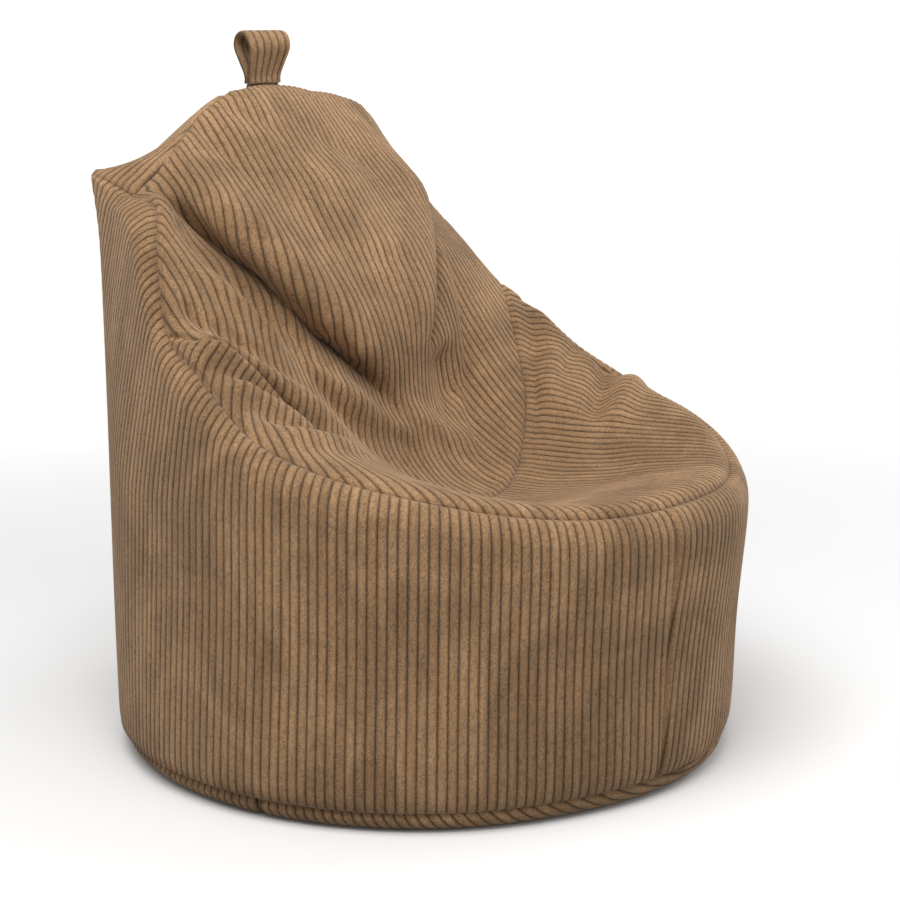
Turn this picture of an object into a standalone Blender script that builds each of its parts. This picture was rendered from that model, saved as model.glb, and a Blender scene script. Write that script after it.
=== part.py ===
"""A tub-shaped bean bag chair in jumbo corduroy, with a zipped liner full of beads inside the cover.

Metres, +Z up. The origin is on the floor under the middle of the tub, the sitter faces -Y,
and the sitter's right hand is at -X. Angles go round the tub from the front, 180 is the back.
"""

import math

import bmesh
import bpy
import numpy as np

# Driving sizes of the tub
PLAN_RADIUS = 0.372  # widest radius of the round rim
SEAT_HEIGHT = 0.294  # lowest point of the seat hollow
BACK_HEIGHT = 0.765  # top of the backrest, where the handle is sewn on
BASE_ROLL = 0.030  # how far the base curves in from the base seam to the flat
BASE_SEAM_HEIGHT = 0.018

# Cloth, liner and clearances
COVER_THICKNESS = 0.0030
LINER_THICKNESS = 0.0010
GAP = 0.0003  # between pieces that touch
SEAM_GAP = 0.0004  # between two panels at a seam
LINER_LIFT = 0.0078  # the liner's flat bottom above the floor, clear of the cover's zip
FILLING_LIFT = 0.0160  # the beads' flat bottom, clear of the liner's zip

# Seams round the tub, as angles from the front
WALL_SEAM_ANGLE = -12.0
NOTCH_ANGLE = 113.0
EAR_ANGLE = 138.0  # where the rim seam and the top seam part
GUSSET_START_ANGLE = 139.0
CORNER_ANGLE = 147.0

# Carry handle, a loop of folded strap. Its two ends are stitched together as a thin root in the
# top seam, and the loop flops about the root's upper edge.
HANDLE_WIDTH = 0.058
HANDLE_HEIGHT = 0.062
HANDLE_DEPTH = 0.030
HANDLE_THICKNESS = 0.0045
HANDLE_ROOT_THICKNESS = 0.003
HANDLE_ROOT_HEIGHT = 0.005
RIDGE_SLOPE = 1.8  # rise over run of the root's ridge, steeper than the loop leans over it

# Zips: one across the cover's base and one in the liner's bottom
COVER_ZIP_LENGTH = 0.500
LINER_ZIP_LENGTH = 0.360
LINER_ZIP_Y = 0.110
ZIP_SLOT = 0.016  # width of the opening that shows the zip
TAPE_WIDTH = 0.015
TAPE_THICKNESS = 0.0006
TOOTH_ROW_WIDTH = 0.0026
TOOTH_ROW_HEIGHT = 0.0014
TOOTH_PITCH = 0.020
CHAIN_GAP = 0.0012  # between the two rows of teeth, where the slider's post runs
SLIDER_LENGTH = 0.014
SLIDER_WIDTH = 0.009
SLIDER_PLATE = 0.0012
SLIDER_POST = 0.0006
STOP_LENGTH = 0.003

# The tub's outline at stations round it: angle, then as shares of PLAN_RADIUS the radius at the
# base seam, halfway up, at the swelling under the rim and at the rim seam, and the rim seam's
# rise from SEAT_HEIGHT (0) to BACK_HEIGHT (1).
WALL_STATIONS = (
    (0, 0.918, 0.955, 0.985, 0.930, 0.078),
    (30, 0.915, 0.950, 0.978, 0.926, 0.082),
    (60, 0.955, 0.981, 1.000, 0.940, 0.145),
    (90, 0.981, 0.989, 0.995, 0.930, 0.246),
    (105, 0.989, 0.995, 0.995, 0.936, 0.382),
    (NOTCH_ANGLE, 0.995, 1.000, 0.995, 0.957, 0.463),
    (121, 0.998, 1.008, 0.990, 0.927, 0.643),
    (129, 1.003, 1.022, 0.985, 0.898, 0.745),
    (EAR_ANGLE, 1.010, 1.036, 1.010, 0.960, 0.777),
    (CORNER_ANGLE, 1.018, 1.052, 1.068, 1.075, 0.811),
    (158, 1.000, 1.035, 1.030, 1.000, 0.834),
    (180, 0.955, 0.985, 0.978, 0.925, 0.860),
)
WALL_SEAM_STEP = 0.012  # how far below the rim seam the edge starts to curl in
WALL_SWELL_STEP = 0.045  # how far below the rim seam the swelling is

# Top seam between gusset and inner back, from the gusset's point to the middle: angle, x and y
# as shares of PLAN_RADIUS, rise.
TOP_SEAM_STATIONS = (
    (EAR_ANGLE, 0.645, 0.704, 0.777),
    (CORNER_ANGLE, 0.535, 0.655, 0.905),
    (158, 0.380, 0.672, 0.968),
    (169, 0.190, 0.683, 0.992),
    (180, 0.000, 0.688, 1.000),
)

# The inside of the tub from the seam down to the middle of the seat. Each station has an angle
# and five points, each x and y as shares of PLAN_RADIUS and the rise.
INNER_STATIONS = (
    (
        0,
        (0, -0.860, 0.092),
        (0, -0.632, 0.060),
        (0, -0.510, 0.035),
        (0, -0.350, 0.012),
        (0, -0.270, 0.003),
    ),
    (
        30,
        (0.430, -0.745, 0.096),
        (0.310, -0.575, 0.066),
        (0.240, -0.480, 0.038),
        (0.140, -0.345, 0.012),
        (0.060, -0.265, 0.003),
    ),
    (
        60,
        (0.740, -0.435, 0.160),
        (0.540, -0.375, 0.118),
        (0.430, -0.345, 0.072),
        (0.270, -0.270, 0.024),
        (0.110, -0.220, 0.005),
    ),
    (
        90,
        (0.830, -0.010, 0.260),
        (0.620, -0.055, 0.205),
        (0.490, -0.095, 0.125),
        (0.330, -0.135, 0.048),
        (0.150, -0.165, 0.010),
    ),
    (
        NOTCH_ANGLE,
        (0.850, 0.300, 0.455),
        (0.670, 0.130, 0.300),
        (0.540, 0.030, 0.190),
        (0.350, -0.060, 0.070),
        (0.160, -0.140, 0.016),
    ),
    (
        129,
        (0.672, 0.530, 0.735),
        (0.560, 0.330, 0.545),
        (0.460, 0.200, 0.350),
        (0.310, 0.080, 0.150),
        (0.140, -0.080, 0.030),
    ),
    (
        EAR_ANGLE,
        (0.600, 0.570, 0.770),
        (0.505, 0.315, 0.560),
        (0.412, 0.190, 0.372),
        (0.272, 0.092, 0.164),
        (0.120, -0.060, 0.036),
    ),
    (
        CORNER_ANGLE,
        (0.510, 0.600, 0.880),
        (0.440, 0.300, 0.590),
        (0.360, 0.180, 0.400),
        (0.230, 0.105, 0.180),
        (0.100, -0.040, 0.042),
    ),
    (
        180,
        (0, 0.600, 0.985),
        (0, 0.240, 0.590),
        (0, 0.125, 0.400),
        (0, 0.095, 0.190),
        (0, -0.020, 0.048),
    ),
)
SEAT_POLE_Y = -0.190  # share of PLAN_RADIUS

# The grid of points on the tub: columns at these angles, rings in these counts
FRONT_COLUMNS = 16  # between the front seam and the notch
BACK_COLUMN_STEPS = (4.0, 8.0, 12.0, 16.0, 20.5)  # past the notch
EAR_COLUMN_STEP = 4.0
REAR_COLUMNS = (156.0, 164.0, 172.0, 180.0)
BASE_SHARES = (0.0, 0.45, 0.85)
OUTWARD_SMOOTHINGS = 7  # keeps nested skins apart where the surface turns sharply
WALL_STEPS = 7
GUSSET_STEPS = 2
INNER_STEPS = 11


def material(name, colour, roughness, metallic=0.0, sheen=0.0):
    made = bpy.data.materials.new(name)
    made.use_nodes = True
    shader = made.node_tree.nodes["Principled BSDF"]
    shader.inputs["Base Color"].default_value = (*colour, 1.0)
    shader.inputs["Roughness"].default_value = roughness
    shader.inputs["Metallic"].default_value = metallic
    shader.inputs["Sheen Weight"].default_value = sheen
    made.diffuse_color = (*colour, 1.0)
    return made


def clear_scene():
    for thing in list(bpy.data.objects):
        bpy.data.objects.remove(thing)


def height(rise):
    return SEAT_HEIGHT + rise * (BACK_HEIGHT - SEAT_HEIGHT)


def round_the_tub(stations, angle, odd=()):
    """The values at an angle on smooth curves through mirrored stations. odd lists the columns
    that change sign from one side of the tub to the other."""
    rows = [np.array(row, float) for row in stations]
    flip = np.ones(len(rows[0]))
    flip[0] = -1.0
    for column in odd:
        flip[column] = -1.0
    before = rows[1] * flip if rows[0][0] == 0 else rows[0] * 2 - rows[1]
    after = rows[-2] * flip
    after[0] += 360.0
    rows = [before] + rows + [after]
    side = -1.0 if angle < 0 else 1.0
    spot = abs(angle)
    for low in range(1, len(rows) - 2):
        if spot <= rows[low + 1][0]:
            break
    a, b, c, d = rows[low - 1 : low + 3]
    span = c[0] - b[0]
    share = min(max((spot - b[0]) / span, 0.0), 1.0)
    slope_b = (c - a) / (c[0] - a[0]) * span
    slope_c = (d - b) / (d[0] - b[0]) * span
    square, cube = share**2, share**3
    values = (
        (2 * cube - 3 * square + 1) * b
        + (cube - 2 * square + share) * slope_b
        + (3 * square - 2 * cube) * c
        + (cube - square) * slope_c
    )
    for column in odd:
        values[column] *= side
    return values[1:]


def along(points, steps):
    """steps + 1 points on a smooth curve through the given ones, spaced evenly along it."""
    points = [np.array(p, float) for p in points]
    points = [2 * points[0] - points[1]] + points + [2 * points[-1] - points[-2]]
    fine = []
    for a, b, c, d in zip(points, points[1:], points[2:], points[3:]):
        for share in np.linspace(0, 1, 16, endpoint=False):
            fine.append(
                0.5
                * (
                    2 * b
                    + (c - a) * share
                    + (2 * a - 5 * b + 4 * c - d) * share**2
                    + (3 * b - a - 3 * c + d) * share**3
                )
            )
    fine = np.array(fine + [points[-2]])
    run = np.concatenate([[0], np.cumsum(np.linalg.norm(np.diff(fine, axis=0), axis=1))])
    wanted = np.linspace(0, run[-1], steps + 1)
    return np.stack([np.interp(wanted, run, fine[:, i]) for i in range(3)], axis=1)


def rim_seam(angle):
    """The seam at the top of the outer wall."""
    radius, rise = round_the_tub(WALL_STATIONS, angle)[3:]
    turn = math.radians(angle)
    across = math.sin(turn) * radius * PLAN_RADIUS
    return np.array([across, -math.cos(turn) * radius * PLAN_RADIUS, height(rise)])


def top_seam(angle):
    """The seam where the inside of the tub begins: the rim seam, or the top seam at the back."""
    if abs(angle) <= EAR_ANGLE:
        return rim_seam(angle)
    stations = [(row[0], row[1], row[2], row[3]) for row in TOP_SEAM_STATIONS]
    x, y, rise = round_the_tub(stations, angle, odd=(1,))
    return np.array([x * PLAN_RADIUS, y * PLAN_RADIUS, height(rise)])


def outline(angle):
    """The column of points at one angle, from the middle of the base to the middle of the seat."""
    base, middle, swell, _, _ = round_the_tub(WALL_STATIONS, angle)
    turn = math.radians(angle)

    def at(radius, z):
        return np.array([math.sin(turn) * radius, -math.cos(turn) * radius, z])

    seam = rim_seam(angle)
    flat = base * PLAN_RADIUS - BASE_ROLL
    roll = at(flat + 0.66 * BASE_ROLL, BASE_SEAM_HEIGHT * 0.22)
    base_seam = at(base * PLAN_RADIUS, BASE_SEAM_HEIGHT)
    column = [at(flat * share, 0.0) for share in BASE_SHARES] + [at(flat, 0.0), roll]
    wall = [
        base_seam,
        at(base * PLAN_RADIUS + 0.006, BASE_SEAM_HEIGHT + 0.035),
        at(middle * PLAN_RADIUS, 0.5 * seam[2]),
        at(swell * PLAN_RADIUS, seam[2] - WALL_SWELL_STEP),
        at(0.35 * math.hypot(seam[0], seam[1]) + 0.65 * swell * PLAN_RADIUS, seam[2] - WALL_SEAM_STEP),
        seam,
    ]
    column += list(along(wall, WALL_STEPS))
    inner_start = top_seam(angle)
    crown = 0.5 * (seam + inner_start)
    if abs(angle) > EAR_ANGLE:
        crown = crown + np.array([0, 0.004, 0.006]) * min(1.0, (abs(angle) - EAR_ANGLE) / 20.0)
    column += list(along([seam, crown, inner_start], GUSSET_STEPS))[1:]
    flat_rows = [(row[0],) + tuple(v for point in row[1:] for v in point) for row in INNER_STATIONS]
    values = round_the_tub(flat_rows, angle, odd=(1, 4, 7, 10, 13))
    inner = [inner_start]
    for first in range(0, 15, 3):
        x, y, rise = values[first : first + 3]
        inner.append(np.array([x * PLAN_RADIUS, y * PLAN_RADIUS, height(rise)]))
    inner.append(np.array([0, SEAT_POLE_Y * PLAN_RADIUS, SEAT_HEIGHT]))
    column += list(along(inner, INNER_STEPS))[1:]
    return np.array(column)


FLAT_RING = len(BASE_SHARES)
BASE_SEAM_RING = FLAT_RING + 2
RIM_RING = BASE_SEAM_RING + WALL_STEPS
TOP_RING = RIM_RING + GUSSET_STEPS
POLE_RING = TOP_RING + INNER_STEPS


def all_angles():
    """Every column's angle once round, from the wall seam near the front."""
    left = list(np.linspace(WALL_SEAM_ANGLE, NOTCH_ANGLE, FRONT_COLUMNS + 1))
    left += [NOTCH_ANGLE + step for step in BACK_COLUMN_STEPS]
    left += [EAR_ANGLE, GUSSET_START_ANGLE, GUSSET_START_ANGLE + EAR_COLUMN_STEP]
    left += [CORNER_ANGLE, CORNER_ANGLE + EAR_COLUMN_STEP, *REAR_COLUMNS]
    right = [-a for a in reversed(left) if WALL_SEAM_ANGLE > -a > -180]
    return left + right


class Tub:
    """The chair's whole surface: a grid of points, rings from base to seat by columns round it,
    with the direction straight out of the surface at each one."""

    def __init__(self):
        self.angles = all_angles()
        self.points = np.array([outline(a) for a in self.angles])
        self.points[:, 0] = (0, 0, 0)
        round_it = np.roll(self.points, -1, axis=0) - np.roll(self.points, 1, axis=0)
        up_it = np.gradient(self.points, axis=1)
        no_gusset = np.abs(self.angles) <= EAR_ANGLE
        across = self.points[:, TOP_RING + 1] - self.points[:, RIM_RING - 1]
        up_it[no_gusset, RIM_RING : TOP_RING + 1] = across[no_gusset, None]
        out = np.cross(round_it, up_it)
        out /= np.maximum(np.linalg.norm(out, axis=2, keepdims=True), 1e-12)
        for _ in range(OUTWARD_SMOOTHINGS):
            out = out + 0.5 * (np.roll(out, 1, axis=0) + np.roll(out, -1, axis=0))
            out[:, 1:-1] += 0.5 * (out[:, :-2] + out[:, 2:])
            seam = out[no_gusset, RIM_RING : TOP_RING + 1].mean(axis=1, keepdims=True)
            out[no_gusset, RIM_RING : TOP_RING + 1] = seam
            out /= np.maximum(np.linalg.norm(out, axis=2, keepdims=True), 1e-12)
        self.outward = out
        self.outward[:, : FLAT_RING + 1] = (0, 0, -1)
        self.outward[:, POLE_RING] = (0, 0, 1)

    def column(self, angle):
        return self.angles.index(angle)

    def layer(self, depth, lift):
        """The points moved inwards by depth, with the bottom raised to lift."""
        moved = self.points - self.outward * depth
        moved[:, :, 2] = np.maximum(moved[:, :, 2], lift)
        moved[:, : FLAT_RING + 1, 2] = lift
        return moved


def new_object(name, mesh_maker, finish):
    data = bpy.data.meshes.new(name)
    work = bmesh.new()
    mesh_maker(work)
    bmesh.ops.remove_doubles(work, verts=work.verts, dist=1e-6)
    bmesh.ops.dissolve_degenerate(work, dist=1e-6, edges=work.edges)
    bmesh.ops.recalc_face_normals(work, faces=work.faces)
    work.to_mesh(data)
    work.free()
    data.materials.append(finish)
    made = bpy.data.objects.new(name, data)
    bpy.context.scene.collection.objects.link(made)
    return made


def smooth(thing, degrees=40):
    thing.data.shade_smooth()
    thing.data.set_sharp_from_angle(angle=math.radians(degrees))


def quad(work, a, b, c, d):
    """Two triangles, always cut the same way, so that nested skins keep their distance."""
    work.faces.new((a, b, c))
    work.faces.new((a, c, d))


def closed_layer(tub, depth, lift):
    """Makes a mesh maker for the whole closed surface at one depth."""

    def make(work):
        points = tub.layer(depth, lift)
        count = len(points)
        bottom = work.verts.new(points[0, 0])
        top = work.verts.new(points[0, POLE_RING])
        rings = [[work.verts.new(points[c, r]) for c in range(count)] for r in range(1, POLE_RING)]
        for c in range(count):
            after = (c + 1) % count
            work.faces.new((bottom, rings[0][after], rings[0][c]))
            for low, high in zip(rings, rings[1:]):
                quad(work, low[c], low[after], high[after], high[c])
            work.faces.new((rings[-1][c], rings[-1][after], top))

    return make


def pulled_in(sheet, axis, edge, beside):
    """Moves one edge of a grid of points half a seam's gap towards the row beside it."""
    at, near = [slice(None)] * 2, [slice(None)] * 2
    at[axis], near[axis] = edge, beside
    way = sheet[tuple(near)] - sheet[tuple(at)]
    length = np.linalg.norm(way, axis=-1, keepdims=True)
    sheet[tuple(at)] += way / np.maximum(length, 1e-9) * SEAM_GAP / 2


def panel_maker(tub, columns, first_ring, last_ring, tongue=()):
    """Makes a mesh maker for one cloth panel, a closed solid as thick as the cover. A panel with
    a tongue runs on over the middle of the seat, to the ends of the columns that it names."""

    def make(work):
        pairs = []
        for depth in (0.0, COVER_THICKNESS):
            sheet = tub.points[columns, first_ring : last_ring + 1]
            sheet = sheet - tub.outward[columns, first_ring : last_ring + 1] * depth
            for axis, edge, beside in ((0, 0, 1), (0, -1, -2), (1, 0, 1), (1, -1, -2)):
                if not tongue or (axis, edge) != (1, -1):
                    pulled_in(sheet, axis, edge, beside)
            high, wide = sheet.shape[:2]
            layer = [[work.verts.new(sheet[i, j]) for j in range(wide)] for i in range(high)]
            for i in range(high - 1):
                for j in range(wide - 1):
                    quad(work, layer[i][j], layer[i + 1][j], layer[i + 1][j + 1], layer[i][j + 1])
            rim = [layer[i][0] for i in range(high)] + layer[-1][1:]
            spots = [(n, 0) for n in range(high)] + [(high - 1, j) for j in range(1, wide)]
            far_side = [layer[i][-1] for i in range(high)]
            if tongue:
                pole = tub.points[0, POLE_RING] - tub.outward[0, POLE_RING] * depth
                tips = tub.points[tongue, last_ring] - tub.outward[tongue, last_ring] * depth
                way = pole - tips
                tips = tips + way / np.linalg.norm(way, axis=1, keepdims=True) * SEAM_GAP / 2
                middle = work.verts.new(pole)
                tip_line = [layer[-1][-1]] + [work.verts.new(tip) for tip in tips] + [layer[0][-1]]
                for a, b in zip(far_side + tip_line[1:-1], far_side[1:] + tip_line[1:]):
                    work.faces.new((a, b, middle))
                rim += tip_line[1:-1]
                spots += [(high + n, wide - 1) for n in range(len(tips))]
            else:
                rim += far_side[-2:0:-1]
                spots += [(n, wide - 1) for n in range(high - 2, 0, -1)]
            rim += layer[0][:0:-1]
            spots += [(0, j) for j in range(wide - 1, 0, -1)]
            pairs.append(rim)
        outer, inner = pairs
        count = len(outer)
        for n in range(count):
            first, second = n, (n + 1) % count
            if spots[first] > spots[second]:
                first, second = second, first
            quad(work, outer[first], outer[second], inner[second], inner[first])

    return make


def columns_between(tub, start, end):
    """Column numbers from one angle round to another, going up in number."""
    first, last = tub.column(start), tub.column(end)
    count = len(tub.angles)
    if last <= first:
        last += count
    return [n % count for n in range(first, last + 1)]


def cover_panels(tub):
    cord = material("corduroy", (0.235, 0.145, 0.085), 0.9, sheen=0.4)
    gusset_cord = material("corduroy_gusset", (0.25, 0.155, 0.09), 0.9, sheen=0.4)
    corner = CORNER_ANGLE
    panels = (
        ("outer_wall_left", columns_between(tub, WALL_SEAM_ANGLE, corner), BASE_SEAM_RING, RIM_RING, cord),
        ("outer_wall_right", columns_between(tub, -corner, WALL_SEAM_ANGLE), BASE_SEAM_RING, RIM_RING, cord),
        ("outer_back", columns_between(tub, corner, -corner), BASE_SEAM_RING, RIM_RING, cord),
        (
            "top_gusset",
            columns_between(tub, GUSSET_START_ANGLE, -GUSSET_START_ANGLE),
            RIM_RING,
            TOP_RING,
            gusset_cord,
        ),
        ("inner_back", columns_between(tub, NOTCH_ANGLE, -NOTCH_ANGLE), TOP_RING, POLE_RING - 1, cord),
    )
    for name, columns, first, last, finish in panels:
        smooth(new_object(name, panel_maker(tub, columns, first, last), finish))
    front = columns_between(tub, -NOTCH_ANGLE, NOTCH_ANGLE)
    back = columns_between(tub, NOTCH_ANGLE, -NOTCH_ANGLE)[1:-1]
    seat = panel_maker(tub, front, TOP_RING, POLE_RING - 1, tongue=back)
    smooth(new_object("seat_and_arms", seat, cord))


def boolean(thing, tool, operation):
    step = thing.modifiers.new(operation.lower(), "BOOLEAN")
    step.operation = operation
    step.object = tool
    tool.hide_render = True
    tool.display_type = "WIRE"


def prism(name, corners, low, high, finish):
    """A flat outline with its corners in order, made solid between two heights."""

    def make(work):
        bottom = [work.verts.new((x, y, low)) for x, y in corners]
        face = work.faces.new(bottom)
        grown = bmesh.ops.extrude_face_region(work, geom=[face])
        moved = [v for v in grown["geom"] if isinstance(v, bmesh.types.BMVert)]
        bmesh.ops.translate(work, verts=moved, vec=(0, 0, high - low))

    return new_object(name, make, finish)


def base_panels(tub):
    """Two halves of the base, sewn together past the ends of the zip that lies between them."""
    cord = material("corduroy_base", (0.19, 0.115, 0.065), 0.92, sheen=0.3)
    reach = 2 * PLAN_RADIUS
    half_slot = ZIP_SLOT / 2
    half_seam = SEAM_GAP / 2
    end = COVER_ZIP_LENGTH / 2 + STOP_LENGTH

    def dish(work):
        layers = []
        count = len(tub.angles)
        for depth in (0.0, COVER_THICKNESS):
            points = (tub.points - tub.outward * depth)[:, : BASE_SEAM_RING + 1]
            way = points[:, -2] - points[:, -1]
            points[:, -1] += way / np.linalg.norm(way, axis=1, keepdims=True) * SEAM_GAP / 2
            middle = work.verts.new(points[0, 0])
            rings = []
            for r in range(1, BASE_SEAM_RING + 1):
                rings.append([work.verts.new(points[c, r]) for c in range(count)])
            for c in range(count):
                after = (c + 1) % count
                work.faces.new((middle, rings[0][after], rings[0][c]))
                for low, high in zip(rings, rings[1:]):
                    quad(work, low[c], low[after], high[after], high[c])
            layers.append(rings[-1])
        for c in range(count):
            after = (c + 1) % count
            work.faces.new((layers[0][c], layers[0][after], layers[1][after], layers[1][c]))

    for name, way in (("base_front", -1), ("base_rear", 1)):
        half = new_object(name, dish, cord)
        corners = [
            (-reach, way * half_seam),
            (-end, way * half_seam),
            (-end, way * half_slot),
            (end, way * half_slot),
            (end, way * half_seam),
            (reach, way * half_seam),
            (reach, way * reach),
            (-reach, way * reach),
        ]
        keep = prism(name + "_keep", corners, -PLAN_RADIUS, PLAN_RADIUS, cord)
        boolean(half, keep, "INTERSECT")


def box_maker(low, high):
    def make(work):
        bmesh.ops.create_cube(work, size=1.0)
        size = [b - a for a, b in zip(low, high)]
        bmesh.ops.scale(work, vec=size, verts=work.verts)
        bmesh.ops.translate(work, vec=[(a + b) / 2 for a, b in zip(low, high)], verts=work.verts)

    return make


def tooth_row_maker(length, inner_y, way, low):
    """A bar with a notch between each two teeth along its inner edge."""

    def make(work):
        count = int(length / TOOTH_PITCH)
        pitch = length / count
        edge = []
        for n in range(count):
            start = -length / 2 + n * pitch
            edge += [(start, 0.0), (start + 0.72 * pitch, 0.0)]
            edge += [(start + 0.76 * pitch, 0.0006), (start + 0.96 * pitch, 0.0006)]
        edge.append((length / 2, 0.0))
        outline_points = [(x, inner_y + way * y) for x, y in edge]
        far_y = inner_y + way * TOOTH_ROW_WIDTH
        outline_points += [(length / 2, far_y), (-length / 2, far_y)]
        bottom = [work.verts.new((x, y, low)) for x, y in outline_points]
        face = work.faces.new(bottom)
        grown = bmesh.ops.extrude_face_region(work, geom=[face])
        moved = [v for v in grown["geom"] if isinstance(v, bmesh.types.BMVert)]
        bmesh.ops.translate(work, verts=moved, vec=(0, 0, TOOTH_ROW_HEIGHT))

    return make


def extrude_profile(work, profile, start, length):
    """A closed outline in Y and Z made solid along X."""
    face = work.faces.new([work.verts.new((start, across, z)) for across, z in profile])
    grown = bmesh.ops.extrude_face_region(work, geom=[face])
    moved = [v for v in grown["geom"] if isinstance(v, bmesh.types.BMVert)]
    bmesh.ops.translate(work, verts=moved, vec=(length, 0, 0))


def slider(name, x, y, tape_low, finish):
    """Two plates joined by a thin post that runs between the rows of teeth."""
    teeth_high = tape_low + TAPE_THICKNESS + GAP + TOOTH_ROW_HEIGHT
    half_length, half_width = SLIDER_LENGTH / 2, SLIDER_WIDTH / 2
    lower_top = tape_low - GAP
    upper_low = teeth_high + GAP

    def make(work):
        profile = [
            (-half_width, lower_top - SLIDER_PLATE),
            (half_width, lower_top - SLIDER_PLATE),
            (half_width, lower_top),
            (SLIDER_POST / 2, lower_top),
            (SLIDER_POST / 2, upper_low),
            (half_width, upper_low),
            (half_width, upper_low + SLIDER_PLATE),
            (-half_width, upper_low + SLIDER_PLATE),
            (-half_width, upper_low),
            (-SLIDER_POST / 2, upper_low),
            (-SLIDER_POST / 2, lower_top),
            (-half_width, lower_top),
        ]
        extrude_profile(work, profile, -half_length, SLIDER_LENGTH)

    made = new_object(name, make, finish)
    made.location = (x, y, 0)
    return made


def zip_fastener(prefix, length, y, panel_top, tape_colour):
    """Two tapes inside the opening's edges, two rows of teeth on them, a slider and two stops."""
    tape_finish = material(prefix + "_tape", tape_colour, 0.85)
    tooth_finish = material(prefix + "_teeth", tuple(c * 0.8 for c in tape_colour), 0.45)
    metal = material(prefix + "_slider", (0.32, 0.24, 0.15), 0.35, metallic=0.9)
    tape_low = panel_top + GAP
    tooth_low = tape_low + TAPE_THICKNESS + GAP
    half = length / 2
    for side, way in (("front", -1), ("rear", 1)):
        near, far = sorted((y + way * CHAIN_GAP / 2, y + way * (CHAIN_GAP / 2 + TAPE_WIDTH)))
        tape_half = half + 2 * STOP_LENGTH
        tape = box_maker((-tape_half, near, tape_low), (tape_half, far, tape_low + TAPE_THICKNESS))
        new_object(f"{prefix}_tape_{side}", tape, tape_finish)
        row = tooth_row_maker(length, y + way * CHAIN_GAP / 2, way, tooth_low)
        new_object(f"{prefix}_teeth_{side}", row, tooth_finish)
    slider(f"{prefix}_slider", half - SLIDER_LENGTH / 2 - GAP, y, tape_low, metal)
    stop_width = CHAIN_GAP / 2 + TOOTH_ROW_WIDTH
    for end, way in (("closed", 1), ("open", -1)):
        low_x, high_x = sorted((way * (half + GAP), way * (half + GAP + STOP_LENGTH)))
        tooth_high = tooth_low + TOOTH_ROW_HEIGHT
        stop = box_maker((low_x, y - stop_width, tooth_low), (high_x, y + stop_width, tooth_high))
        new_object(f"{prefix}_stop_{end}", stop, metal)


def liner(tub):
    """A thin woven bag inside the cover, open along the slot that its zip closes."""
    finish = material("liner_polyester", (0.62, 0.60, 0.56), 0.8)
    depth = COVER_THICKNESS + GAP
    bag = new_object("inner_liner", closed_layer(tub, depth, LINER_LIFT), finish)
    hollow = new_object(
        "liner_hollow", closed_layer(tub, depth + LINER_THICKNESS, LINER_LIFT + LINER_THICKNESS), finish
    )
    half = LINER_ZIP_LENGTH / 2
    low = (-half, LINER_ZIP_Y - ZIP_SLOT / 2, LINER_LIFT - 0.01)
    high = (half, LINER_ZIP_Y + ZIP_SLOT / 2, LINER_LIFT + LINER_THICKNESS + 0.001)
    slot = new_object("liner_slot", box_maker(low, high), finish)
    boolean(bag, hollow, "DIFFERENCE")
    boolean(bag, slot, "DIFFERENCE")
    smooth(bag)


def bead_filling(tub):
    finish = material("polystyrene_beads", (0.86, 0.86, 0.84), 0.6)
    depth = COVER_THICKNESS + LINER_THICKNESS + 2 * GAP
    smooth(new_object("bead_filling", closed_layer(tub, depth, FILLING_LIFT), finish))


def carry_handle():
    """A strap folded into a standing loop over its root. Its origin is on the edge it flops about."""
    finish = material("corduroy_handle", (0.26, 0.16, 0.095), 0.9, sheen=0.4)
    crown = top_seam(180.0)
    root_half = HANDLE_ROOT_THICKNESS / 2
    ridge = HANDLE_ROOT_HEIGHT - 2 * GAP
    shoulder = ridge - root_half * RIDGE_SLOPE

    def make_root(work):
        profile = [(-root_half, GAP), (root_half, GAP), (root_half, shoulder), (0.0, ridge)]
        profile.append((-root_half, shoulder))
        extrude_profile(work, profile, -HANDLE_WIDTH / 2, HANDLE_WIDTH)

    root = new_object("carry_handle_root", make_root, finish)
    root.location = (0, crown[1], crown[2])

    half = HANDLE_THICKNESS / 2
    foot = half + GAP
    reach = HANDLE_DEPTH / 2 - half
    top_centre = HANDLE_HEIGHT - HANDLE_DEPTH / 2
    middle = [(-foot, GAP), (-foot, 0.2 * HANDLE_HEIGHT)]
    for share in np.linspace(0, 1, 13):
        turn = math.pi * (1.16 - 1.32 * share)
        middle.append((math.cos(turn) * reach, top_centre + math.sin(turn) * reach))
    middle += [(foot, 0.2 * HANDLE_HEIGHT), (foot, GAP)]
    line = np.array(middle)
    way = np.gradient(line, axis=0)
    way /= np.linalg.norm(way, axis=1, keepdims=True)
    out = np.stack([-way[:, 1], way[:, 0]], axis=1)

    def make(work):
        outlines = [line + out * half, line - out * half]
        sides = []
        for x in (-HANDLE_WIDTH / 2, HANDLE_WIDTH / 2):
            sides.append([[work.verts.new((x, y, z)) for y, z in outline] for outline in outlines])
        (outer_a, inner_a), (outer_b, inner_b) = sides
        for n in range(len(line) - 1):
            work.faces.new((outer_a[n], outer_a[n + 1], outer_b[n + 1], outer_b[n]))
            work.faces.new((inner_a[n], inner_a[n + 1], inner_b[n + 1], inner_b[n]))
            work.faces.new((outer_a[n], outer_a[n + 1], inner_a[n + 1], inner_a[n]))
            work.faces.new((outer_b[n], outer_b[n + 1], inner_b[n + 1], inner_b[n]))
        for n in (0, -1):
            work.faces.new((outer_a[n], inner_a[n], inner_b[n], outer_b[n]))

    handle = new_object("carry_handle", make, finish)
    handle.location = (0, crown[1], crown[2] + HANDLE_ROOT_HEIGHT)
    smooth(handle)


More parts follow.
